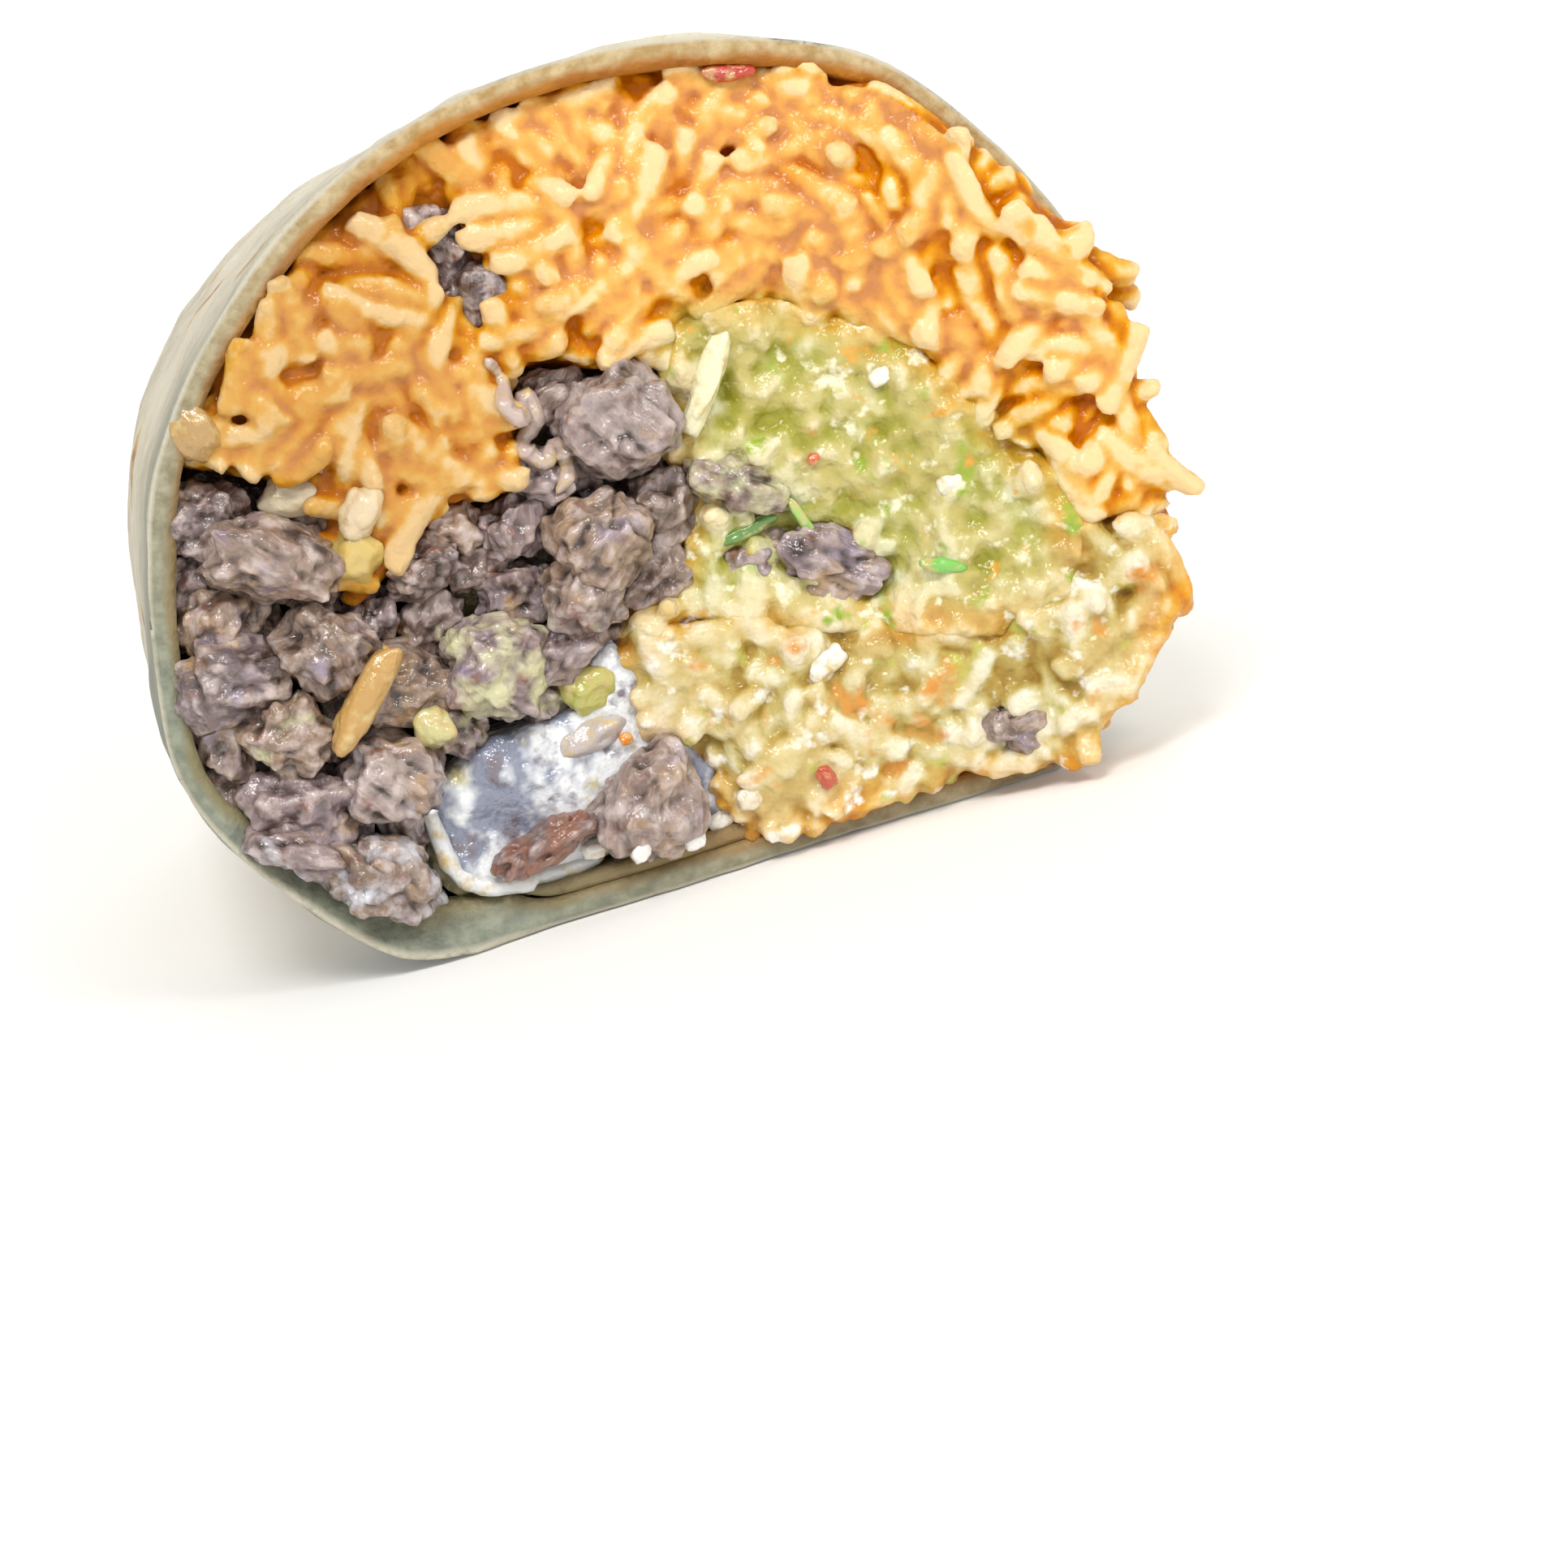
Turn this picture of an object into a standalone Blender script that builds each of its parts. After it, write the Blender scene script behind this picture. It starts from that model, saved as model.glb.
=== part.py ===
"""A cut half of a large rolled burrito, lying on its flattened underside with the cut face to the front.

The tortilla is one long sheet. It starts at a flap turned up inside the roll, runs along the bottom, up the
right side, over the top, down the left side and under itself again, to a seam edge at the bottom right. Its far
end is tucked shut. The fillings run through the roll: orange rice, grilled steak, guacamole, rice dressed with
guacamole and soured cream, and soured cream with steak in it.

Millimetres below are turned into metres where points are placed. X is to the right of the cut face, Y runs
from the cut face to the tucked end, Z is up, and the origin is on the flat underside.
"""
import math
import random

import bmesh
import bpy
from mathutils import Matrix, Vector, noise
from mathutils.geometry import delaunay_2d_cdt

MM = 0.001

# The roll
LENGTH = 98.0                  # cut face to tucked end
CUT_Y = -LENGTH / 2            # where the knife went through
SHEET = 2.1                    # thickness of the tortilla
FLAP_SHEET = 1.0               # the soaked inner end is thinner
LAP_GAP = 0.3                  # between the two layers under the filling
TAPER_WIDE = 0.19              # how much narrower the roll is at the tucked end
TAPER_HIGH = 0.20              # how much lower it is there
LEAN = 3.5                     # how far the top of it leans left there
TUCK_START = 66.0              # depth from the cut where the end begins to round off
TUCK_POWER = 2.4               # 2 is a round end, more is blunter
TUCK_HEIGHT = 24.0             # height of the middle of the tucked end
CLEAR = 0.3                    # kept between neighbouring pieces
CORE_DEPTHS = [16.0, 40.0, TUCK_START, 76.0, 83.0]  # where a filling's side bends on its way back

# The sheet's outer face at the cut, from the seam edge under the roll to the place where it laps itself
SEAM_X = 27.0
FLAT_LEFT_X = -24.0
SHEET_SIDE = [
    (-30.0, 1.6), (-36.2, 8.0), (-40.6, 14.6), (-42.7, 21.0), (-42.2, 28.0), (-40.6, 36.0),
    (-37.6, 44.4), (-31.2, 52.8), (-21.5, 60.4), (-10.0, 65.2), (3.0, 66.4), (15.5, 64.4),
    (26.0, 59.8), (33.4, 51.2), (38.6, 41.0), (40.4, 30.0), (39.9, 19.5), (37.2, 9.4),
]
SHEET_TOP = 66.4
LAP_START = (31.6, 3.6)
FLAP_CORNER_X = -25.2
FLAP_TOP_Z = 12.6
FLAP_LEAN = -0.5
SPAN_STEP = 4.2                # spacing of points along a filling's side

# How far the filling stands out of the cut, in front of the rim
REST_PROUD = -1.0
SPILL_PROUD = 6.2              # on the right, where it bulges over the rim
SAG_PROUD = 2.0                # at the bottom right, where it has slumped forwards
TOP_HOLLOW = 2.2               # at the top, where it has sunk back

# Borders between the fillings on the cut face, each shared by two or more of them
RICE_TO_SIDE_STEAK = [(-35.0, 42.5), (-28.5, 41.0), (-25.5, 39.5), (-27.0, 31.5), (-24.0, 29.5)]
RICE_TO_MIDDLE_STEAK = [(-24.0, 29.5), (-17.0, 35.0), (-10.0, 35.0), (-9.0, 44.5), (-4.5, 43.5), (4.0, 41.0)]
RICE_TO_GUACAMOLE = [(4.0, 41.0), (6.0, 44.0), (12.5, 43.0), (21.0, 38.5), (26.0, 31.5), (30.5, 24.0), (31.0, 20.0)]
RICE_TO_DRESSED = [(31.0, 20.0), (38.5, 17.5)]
GUACAMOLE_TO_STEAK = [(4.0, 41.0), (2.5, 34.0), (4.0, 30.5), (1.5, 24.5), (-5.5, 21.0)]
GUACAMOLE_TO_DRESSED = [(-5.5, 21.0), (3.0, 20.0), (14.0, 16.5), (22.5, 14.0), (29.0, 15.5), (31.0, 20.0)]
DRESSED_TO_STEAK = [(-5.5, 21.0), (-6.0, 14.0)]
DRESSED_TO_CREAM = [(-6.0, 14.0), (-1.6, 8.5), (-1.2, 3.0)]
CREAM_TO_STEAK = [(-6.0, 14.0), (-12.0, 16.0), (-18.5, 16.0), (-24.0, 13.4)]
SIDE_TO_MIDDLE_STEAK = [(-24.0, 13.4), (-22.0, 19.5), (-20.5, 26.0), (-24.0, 29.5)]

# Steak pieces that show on the cut: x, z, length and width in mm, and turn in degrees
SIDE_STEAK = [
    (-34.6, 38.6, 5.6, 6.4, 75), (-30.6, 34.6, 6.2, 11.0, 65), (-35.6, 33.4, 5.0, 4.6, 20),
    (-35.2, 27.0, 6.8, 8.4, 75), (-28.9, 26.6, 6.4, 7.4, 45), (-24.6, 22.2, 4.6, 9.6, 70),
    (-33.4, 21.0, 6.2, 6.8, 75), (-36.8, 17.6, 5.4, 6.0, 20), (-32.2, 14.6, 9.6, 5.6, -20),
    (-34.0, 11.0, 8.4, 3.4, -32), (-27.6, 15.6, 5.6, 7.0, 75), (-29.2, 8.2, 6.0, 8.4, 65),
]
MIDDLE_STEAK = [
    (-1.6, 37.4, 8.2, 7.6, 0), (-0.6, 30.2, 5.0, 5.4, 0), (-5.6, 29.2, 7.2, 6.8, 20),
    (-7.6, 25.0, 5.6, 5.4, 0), (-11.4, 32.0, 5.0, 4.2, 10), (-13.4, 27.8, 6.4, 3.8, 0),
    (-19.4, 29.6, 4.2, 3.2, 10), (-16.0, 21.4, 7.0, 7.4, 75), (-10.4, 20.6, 5.4, 5.4, 0),
    (-6.6, 38.6, 3.0, 4.6, 70),
]
GUACAMOLE_STEAK = (12.4, 24.8, 8.4, 5.8, -30)
CREAM_STEAK = (-7.4, 8.8, 7.6, 6.6, 25)
CREAM_SLIVER = (-16.2, 7.0, 8.6, 2.8, 12)

STEAK_SINK = 0.12              # share of a lump's depth that is sunk into the filling behind it

# Rice
GRAIN_LENGTH = 8.2
GRAIN_RADIUS = 1.2
GRAIN_SPACING = 4.2
GRAIN_SIDES = 5
GRAIN_RINGS = [(-0.5, 0.0), (-0.36, 0.82), (0.0, 1.0), (0.36, 0.82), (0.5, 0.0)]
RICE_SEED = 7
DRESSED_SEED = 19


def smoothstep(low, high, value):
    t = min(1.0, max(0.0, (value - low) / (high - low)))
    return t * t * (3 - 2 * t)


def catmull_rom(points, steps):
    """A smooth run of points through the given ones, `steps` to each span, with the ends held."""
    ends = [points[0], *points, points[-1]]
    run = []
    for before, here, there, after in zip(ends, ends[1:], ends[2:], ends[3:]):
        for i in range(steps):
            t = i / steps
            run.append(tuple(
                0.5 * (2 * q + (r - p) * t + (2 * p - 5 * q + 4 * r - s) * t * t
                       + (3 * q - p - 3 * r + s) * t ** 3)
                for p, q, r, s in zip(before, here, there, after)
            ))
    return [*run, points[-1]]


def side_run(steps=2):
    """The sheet's outer face from the flat underside up the left, over the top and down to the lap."""
    run = catmull_rom([(FLAT_LEFT_X, 0.0), *SHEET_SIDE, LAP_START], steps)
    return run


def inward(run, distance):
    """The run moved by `distance` to its right-hand side, which is the inside of the roll."""
    moved = []
    for i, (x, z) in enumerate(run):
        before, after = run[max(i - 1, 0)], run[min(i + 1, len(run) - 1)]
        along = Vector((after[0] - before[0], after[1] - before[1])).normalized()
        moved.append((x + along.y * distance, z - along.x * distance))
    return moved


def dome(depth, end):
    """Size of the section at a depth, as a share of what it would be if the end weren't tucked."""
    if depth <= TUCK_START:
        return 1.0
    share = min(1.0, (depth - TUCK_START) / (end - TUCK_START))
    return (1 - share ** TUCK_POWER) ** (1 / TUCK_POWER)


def placed(x, z, depth, end):
    """A point of the cut face, in mm, carried back along the roll to a depth, in metres."""
    tuck = dome(depth, end)
    along = depth / LENGTH
    wide = x * (1 - TAPER_WIDE * along) - LEAN * along * z / SHEET_TOP
    high = z * (1 - TAPER_HIGH * along)
    return Vector((wide * tuck, CUT_Y + depth, high * tuck + TUCK_HEIGHT * (1 - tuck))) * MM


def new_object(name, mesh_data, colour, roughness):
    obj = bpy.data.objects.new(name, mesh_data)
    bpy.context.scene.collection.objects.link(obj)
    finish = bpy.data.materials.new(name)
    finish.use_nodes = True
    shader = finish.node_tree.nodes["Principled BSDF"]
    shader.inputs["Base Color"].default_value = (*colour, 1.0)
    shader.inputs["Roughness"].default_value = roughness
    obj.data.materials.append(finish)
    return obj


def mesh_from(bm, name):
    bmesh.ops.recalc_face_normals(bm, faces=bm.faces)
    mesh = bpy.data.meshes.new(name)
    bm.to_mesh(mesh)
    bm.free()
    return mesh


def loft(outline, depths, end):
    """A closed solid whose section is the outline carried back through the depths."""
    bm = bmesh.new()
    rings = [[bm.verts.new(placed(x, z, depth, end)) for x, z in outline] for depth in depths]
    for near, far in zip(rings, rings[1:]):
        for i in range(len(outline)):
            j = (i + 1) % len(outline)
            bm.faces.new((near[i], near[j], far[j], far[i]))
    caps = [bm.faces.new(rings[0]), bm.faces.new(rings[-1])]
    bmesh.ops.triangulate(bm, faces=caps)
    return bm


def boolean(obj, other, operation, solver):
    """Joins another object, or every object of a collection, to obj, or cuts it away, and removes it."""
    modifier = obj.modifiers.new(operation.title(), "BOOLEAN")
    modifier.operation = operation
    modifier.solver = solver
    if isinstance(other, bpy.types.Collection):
        modifier.operand_type = "COLLECTION"
        modifier.collection = other
        spent = list(other.objects)
    else:
        modifier.object = other
        spent = [other]
    graph = bpy.context.evaluated_depsgraph_get()
    joined = bpy.data.meshes.new_from_object(obj.evaluated_get(graph))
    obj.modifiers.clear()
    obj.data = joined
    for done in spent:
        bpy.data.objects.remove(done)


def keep_largest_piece(obj):
    """Drops a scrap that a union left loose."""
    bm = bmesh.new()
    bm.from_mesh(obj.data)
    left = set(bm.verts)
    pieces = []
    while left:
        piece, edge = set(), [left.pop()]
        while edge:
            vert = edge.pop()
            piece.add(vert)
            for link in vert.link_edges:
                other = link.other_vert(vert)
                if other in left:
                    left.discard(other)
                    edge.append(other)
        pieces.append(piece)
    pieces.sort(key=len)
    for piece in pieces[:-1]:
        bmesh.ops.delete(bm, geom=list(piece), context="VERTS")
    bm.to_mesh(obj.data)
    bm.free()


# The tortilla: its outer form, with the hollow, the flap and the gap of the lap cut out of it

def outer_outline():
    return [(SEAM_X, SHEET + LAP_GAP), (SEAM_X, 0.0), *side_run()]


def inner_wall():
    """The sheet's inner face, from the bottom left, round to the bottom right above the lap."""
    run = inward(side_run(), SHEET)
    return [(x, z) for x, z in run if z > (SHEET + 0.1 if x < 0 else SHEET + LAP_GAP + 1.0)]


def flap_left():
    corner = SHEET + LAP_GAP
    return [(FLAP_CORNER_X + FLAP_LEAN, FLAP_TOP_Z), (FLAP_CORNER_X, 6.4), (-24.5, 4.4), (-22.6, 3.3), (-14.0, corner)]


def flap_right():
    top = SHEET + LAP_GAP + FLAP_SHEET
    return [(-14.0, top + 0.1), (-21.8, top + 0.9), (-23.6, 5.2), (FLAP_CORNER_X + FLAP_SHEET, 7.0),
            (FLAP_CORNER_X + FLAP_LEAN + FLAP_SHEET, FLAP_TOP_Z)]


def hollow_outline():
    lap_top = SHEET + LAP_GAP
    past_seam = SEAM_X + 1.5
    lower_lap = [(past_seam, lap_top), (past_seam, SHEET), (FLAT_LEFT_X, SHEET)]
    inner_layer = [(28.0, lap_top + SHEET), (10.0, lap_top + 0.7 * SHEET)]
    return [*flap_left(), *lower_lap, *inner_wall(), *inner_layer, *flap_right()]


def build_tortilla():
    outer_depths = [0, 16, 32, 48, TUCK_START, 76, 83, 88, 92, 95, 97, LENGTH - 0.15]
    hollow_end = LENGTH - 1.2 * SHEET
    hollow_depths = [-2, *CORE_DEPTHS, 87, 91, 94, hollow_end - 0.4]
    tortilla = new_object("tortilla", mesh_from(loft(outer_outline(), outer_depths, LENGTH), "tortilla"),
                          (0.78, 0.71, 0.52), 0.6)
    hollow = bpy.data.objects.new("hollow", mesh_from(loft(hollow_outline(), hollow_depths, hollow_end), "hollow"))
    bpy.context.scene.collection.objects.link(hollow)
    boolean(tortilla, hollow, "DIFFERENCE", "EXACT")
    return tortilla


# The fillings: each is a core that runs back through the roll, with what shows fused to its front

def proud(x, z):
    """How far the filling stands in front of the rim at a place on the cut face."""
    spill = smoothstep(12, 36, x) * smoothstep(62, 46, z)
    hollow = smoothstep(50, 64, z)
    sag = smoothstep(-4, 6, x) * smoothstep(40, 26, x) * smoothstep(22, 8, z)
    return REST_PROUD + SPILL_PROUD * spill - TOP_HOLLOW * hollow + SAG_PROUD * sag


def lumps(x, z, size, depth):
    return depth * noise.noise(Vector((x / size, z / size, depth)))


def wall_between(start, end):
    """The part of the inner wall between two points of it, kept clear of the sheet, from start to end."""
    wall = inward(side_run(), SHEET + CLEAR + 0.1)
    wall = [(x, z) for x, z in wall if z > (SHEET + CLEAR + 0.3 if x < 0 else 2 * SHEET + LAP_GAP + 0.6)]
    nearest = [min(range(len(wall)), key=lambda i: math.dist(wall[i], p)) for p in (start, end)]
    first, last = nearest
    return wall[first:last + 1] if first <= last else wall[last:first + 1][::-1]


def side_floor():
    """Down the left of the flap to the outer layer."""
    left = FLAP_CORNER_X + 2 * FLAP_LEAN - CLEAR
    return [(left, FLAP_TOP_Z), (left, SHEET + CLEAR + 2.4)]


def cream_floor():
    """Along the inner layer, right of the flap."""
    z = SHEET + LAP_GAP + FLAP_SHEET + CLEAR + 0.2
    right_of_flap = FLAP_CORNER_X + FLAP_SHEET + CLEAR + 0.2
    return [(-1.2, z + 0.5), (-12.0, z + 0.2), (-20.0, z + 1.2), (right_of_flap, 7.4), (right_of_flap, FLAP_TOP_Z)]


def dressed_floor():
    z = SHEET + LAP_GAP + SHEET + CLEAR + 0.3
    return [(27.0, z + 0.4), (10.0, z), (-1.2, z)]


def subdivided(outline, step):
    """The closed outline with points added so that no side is much longer than step."""
    run = []
    for a, b in zip(outline, [*outline[1:], outline[0]]):
        parts = max(1, round(math.dist(a, b) / step))
        run += [(a[0] + (b[0] - a[0]) * i / parts, a[1] + (b[1] - a[1]) * i / parts) for i in range(parts)]
    return run


def without_repeats(points):
    return [p for i, p in enumerate(points) if math.dist(p, points[i - 1]) > 0.4]


def shrunk(outline, distance):
    """The closed outline drawn in by a distance on all sides."""
    area = sum(a[0] * b[1] - b[0] * a[1] for a, b in zip(outline, [*outline[1:], outline[0]]))
    sign = 1 if area > 0 else -1
    count = len(outline)
    drawn = []
    for i, point in enumerate(outline):
        here = Vector(point)
        into = (here - Vector(outline[i - 1])).normalized()
        out = (Vector(outline[(i + 1) % count]) - here).normalized()
        normals = [Vector((-d.y, d.x)) * sign for d in (into, out)]
        middle = (normals[0] + normals[1])
        middle = middle.normalized() if middle.length > 0.2 else normals[0]
        reach = distance / max(0.45, middle.dot(normals[0]))
        drawn.append(tuple(here + middle * reach))
    return drawn


def inside(point, outline):
    x, z = point
    hit = False
    for a, b in zip(outline, [*outline[1:], outline[0]]):
        if (a[1] > z) != (b[1] > z) and x < a[0] + (z - a[1]) * (b[0] - a[0]) / (b[1] - a[1]):
            hit = not hit
    return hit


def distance_to(point, outline):
    here = Vector(point)
    best = math.inf
    for a, b in zip(outline, [*outline[1:], outline[0]]):
        side = Vector(b) - Vector(a)
        along = min(1.0, max(0.0, (here - Vector(a)).dot(side) / side.length_squared))
        best = min(best, (here - Vector(a) - side * along).length)
    return best


def scattered(outline, spacing, seed):
    """Points inside the outline on a loose triangular grid."""
    draw = random.Random(seed)
    xs, zs = [p[0] for p in outline], [p[1] for p in outline]
    found = []
    row = 0
    z = min(zs)
    while z < max(zs):
        x = min(xs) + (row % 2) * spacing / 2
        while x < max(xs):
            point = (x + draw.uniform(-0.28, 0.28) * spacing, z + draw.uniform(-0.28, 0.28) * spacing)
            if inside(point, outline):
                found.append(point)
            x += spacing
        z += spacing * 0.87
        row += 1
    return found


def filling(name, outline, colour, roughness, spacing, bump, lift=0.0):
    """A core with an uneven front, its sides running back through the roll."""
    rim = shrunk(subdivided(without_repeats(outline), SPAN_STEP), CLEAR * 0.75)
    middle = [p for p in scattered(rim, spacing, len(name)) if distance_to(p, rim) > spacing * 0.45]
    flat = [Vector(p) for p in rim + middle]
    edges = [(i, (i + 1) % len(rim)) for i in range(len(rim))]
    points, _, faces, sources, _, _ = delaunay_2d_cdt(flat, edges, [], 1, 1e-5)
    hollow_end = LENGTH - 1.2 * SHEET
    bm = bmesh.new()

    def front_of(point):
        height = proud(point.x, point.y) + lift + lumps(point.x, point.y, spacing * 1.6, bump)
        return bm.verts.new(placed(point.x, point.y, 0, hollow_end) - Vector((0, height * MM, 0)))

    verts = [front_of(p) for p in points]
    for face in faces:
        bm.faces.new([verts[i] for i in face])
    order = [next(i for i, from_list in enumerate(sources) if k in from_list) for k in range(len(rim))]
    rings = [[verts[i] for i in order]]
    for depth in CORE_DEPTHS:
        rings.append([bm.verts.new(placed(points[i].x, points[i].y, depth, hollow_end)) for i in order])
    for near, far in zip(rings, rings[1:]):
        for i in range(len(order)):
            j = (i + 1) % len(order)
            bm.faces.new((near[i], near[j], far[j], far[i]))
    bmesh.ops.triangulate(bm, faces=[bm.faces.new(rings[-1])])
    return new_object(name, mesh_from(bm, name), colour, roughness)


def grain_mesh(length, radius):
    bm = bmesh.new()
    rings = []
    for along, size in GRAIN_RINGS:
        ring_sides = GRAIN_SIDES if size else 1
        rings.append([
            bm.verts.new((length * along, radius * size * math.cos(math.tau * k / GRAIN_SIDES),
                          radius * size * math.sin(math.tau * k / GRAIN_SIDES)))
            for k in range(ring_sides)
        ])
    for near, far in zip(rings, rings[1:]):
        for k in range(GRAIN_SIDES):
            n = (k + 1) % GRAIN_SIDES
            corners = [near[k % len(near)], near[n % len(near)], far[n % len(far)], far[k % len(far)]]
            bm.faces.new(list(dict.fromkeys(corners)))
    return bm


def steak_mesh(length, width, depth, seed):
    """A torn lump of steak, rough all over."""
    bm = bmesh.new()
    bmesh.ops.create_icosphere(bm, subdivisions=2, radius=0.5)
    for vert in bm.verts:
        rough = 1 + 0.34 * noise.noise(vert.co * 2.6 + Vector((seed * 3.7, 0, seed)))
        vert.co = Vector((vert.co.x * length, vert.co.y * depth, vert.co.z * width)) * rough
    return bm


def add_to(group, bm, turn, place):
    """Puts one loose piece into a collection, turned and placed in mm."""
    mesh = mesh_from(bm, group.name)
    mesh.transform(Matrix.Translation(place * MM) @ turn @ Matrix.Scale(MM, 4))
    obj = bpy.data.objects.new(group.name, mesh)
    group.objects.link(obj)


def new_group(name):
    group = bpy.data.collections.new(name)
    bpy.context.scene.collection.children.link(group)
    return group


def fuse(core, group):
    boolean(core, group, "UNION", "MANIFOLD")
    bpy.data.collections.remove(group)
    keep_largest_piece(core)


def grown_over_rim(outline):
    """Where rice may lie: the outline itself, and past the wall on the right where it spills over the rim."""
    return [(x + 2.6 * smoothstep(30, 37, x), z) for x, z in outline]


def add_grains(core, outline, seed):
    draw = random.Random(seed)
    group = new_group(core.name + "_grains")
    room = grown_over_rim(shrunk(without_repeats(outline), CLEAR))
    for x, z in scattered(room, GRAIN_SPACING, seed):
        for _ in range(14):
            length = GRAIN_LENGTH * draw.uniform(0.55, 1.05)
            radius = GRAIN_RADIUS * draw.uniform(0.9, 1.15)
            turn = draw.uniform(0, math.pi)
            tilt = math.radians(draw.uniform(-24, 24))
            reach = Vector((math.cos(turn), math.sin(turn))) * (length / 2 - radius) * math.cos(tilt)
            ends = [Vector((x, z)) + reach, Vector((x, z)) - reach]
            if all(inside(e, room) and distance_to(e, room) > radius + CLEAR for e in [*ends, (x, z)]):
                height = proud(x, z) + 0.35 * radius
                spin = Matrix.Rotation(-turn, 4, "Y") @ Matrix.Rotation(tilt, 4, "Z")
                add_to(group, grain_mesh(length, radius), spin, Vector((x, CUT_Y - height, z)))
                break
    fuse(core, group)


def kept_within(bm, centre, room):
    """Draws in the points of a lump that reach past the room its filling has, towards the lump's centre."""
    for vert in bm.verts:
        share = 1.0
        while share > 0.1 and not inside((centre.x + (vert.co.x - centre.x) * share,
                                          centre.z + (vert.co.z - centre.z) * share), room):
            share -= 0.03
        vert.co.x = centre.x + (vert.co.x - centre.x) * share
        vert.co.z = centre.z + (vert.co.z - centre.z) * share


def add_steak(core, places, outline, seed):
    group = new_group(core.name + "_lumps")
    room = shrunk(without_repeats(outline), CLEAR * 1.6)
    for i, (x, z, length, width, turn) in enumerate(places):
        depth = 0.5 * (length + width)
        bm = steak_mesh(length, width, depth, seed + i)
        centre = Vector((x, CUT_Y - proud(x, z) + depth * STEAK_SINK, z))
        bm.transform(Matrix.Translation(centre) @ Matrix.Rotation(-math.radians(turn), 4, "Y"))
        kept_within(bm, centre, room)
        add_to(group, bm, Matrix.Identity(4), Vector())
    fuse(core, group)


def separate_steak(name, place, seed, stand_off):
    """A steak piece of its own, lying on the front of a softer filling."""
    x, z, length, width, turn = place
    depth = 0.62 * width
    bm = steak_mesh(length, width, depth, seed)
    mesh = mesh_from(bm, name)
    where = Vector((x, CUT_Y - proud(x, z) - depth / 2 - stand_off, z)) * MM
    mesh.transform(Matrix.Translation(where) @ Matrix.Rotation(-math.radians(turn), 4, "Y") @ Matrix.Scale(MM, 4))
    new_object(name, mesh, (0.25, 0.19, 0.17), 0.5)


def build_rice():
    outline = [*wall_between(RICE_TO_SIDE_STEAK[0], RICE_TO_DRESSED[-1]), *RICE_TO_DRESSED[-2::-1],
               *RICE_TO_GUACAMOLE[-2::-1], *RICE_TO_MIDDLE_STEAK[-2::-1], *RICE_TO_SIDE_STEAK[-2:0:-1]]
    rice = filling("rice", outline, (0.85, 0.42, 0.09), 0.45, 5.0, 0.7, -0.4)
    add_grains(rice, outline, RICE_SEED)


def build_dressed_rice():
    outline = [*wall_between(RICE_TO_DRESSED[-1], (33.0, 6.0)), *dressed_floor(), *DRESSED_TO_CREAM[-2::-1],
               *DRESSED_TO_STEAK[-2::-1], *GUACAMOLE_TO_DRESSED[1:], ]
    dressed = filling("dressed_rice", outline, (0.78, 0.68, 0.3), 0.4, 5.0, 0.7, -0.3)
    add_grains(dressed, outline, DRESSED_SEED)


def build_guacamole():
    outline = [*RICE_TO_GUACAMOLE, *GUACAMOLE_TO_DRESSED[-2::-1], *GUACAMOLE_TO_STEAK[-2:0:-1]]
    filling("guacamole", outline, (0.62, 0.62, 0.17), 0.3, 2.4, 1.6, 0.0)
    separate_steak("guacamole_steak", GUACAMOLE_STEAK, 61, 0.5)


def build_side_steak():
    outline = [*side_floor(), *wall_between((-27.5, 3.4), RICE_TO_SIDE_STEAK[0]), *RICE_TO_SIDE_STEAK[1:],
               *SIDE_TO_MIDDLE_STEAK[-2:0:-1]]
    steak = filling("side_steak", outline, (0.24, 0.17, 0.15), 0.55, 4.5, 0.8, -2.2)
    add_steak(steak, SIDE_STEAK, outline, 3)


def build_middle_steak():
    outline = [*SIDE_TO_MIDDLE_STEAK, *RICE_TO_MIDDLE_STEAK[1:], *GUACAMOLE_TO_STEAK[1:],
               *DRESSED_TO_STEAK[1:], *CREAM_TO_STEAK[1:-1]]
    steak = filling("middle_steak", outline, (0.27, 0.2, 0.17), 0.5, 4.5, 0.8, -2.0)
    add_steak(steak, MIDDLE_STEAK, outline, 31)


def build_cream():
    outline = [*cream_floor(), *CREAM_TO_STEAK[-2::-1], *DRESSED_TO_CREAM[1:-1]]
    filling("soured_cream", outline, (0.85, 0.85, 0.84), 0.25, 2.6, 0.7, -0.6)
    separate_steak("cream_steak", CREAM_STEAK, 71, 0.2)
    separate_steak("cream_steak_sliver", CREAM_SLIVER, 83, 0.2)


def main():
    for obj in list(bpy.data.objects):
        bpy.data.objects.remove(obj)
    build_tortilla()
    build_rice()
    build_dressed_rice()
    build_guacamole()
    build_side_steak()
    build_middle_steak()
    build_cream()


main()
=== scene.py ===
"""The looks of a cut half of a large rolled burrito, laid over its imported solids.

X is to the right of the cut face, Y runs from the cut face to the tucked end, Z is up, and the origin is on the
flat underside. Sizes are in millimetres until a mesh is made from them.
"""
import math
import random

import bmesh
import bpy
import numpy as np
from mathutils import Euler, Matrix, Vector, noise
from mathutils.geometry import delaunay_2d_cdt
from mathutils.kdtree import KDTree


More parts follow.
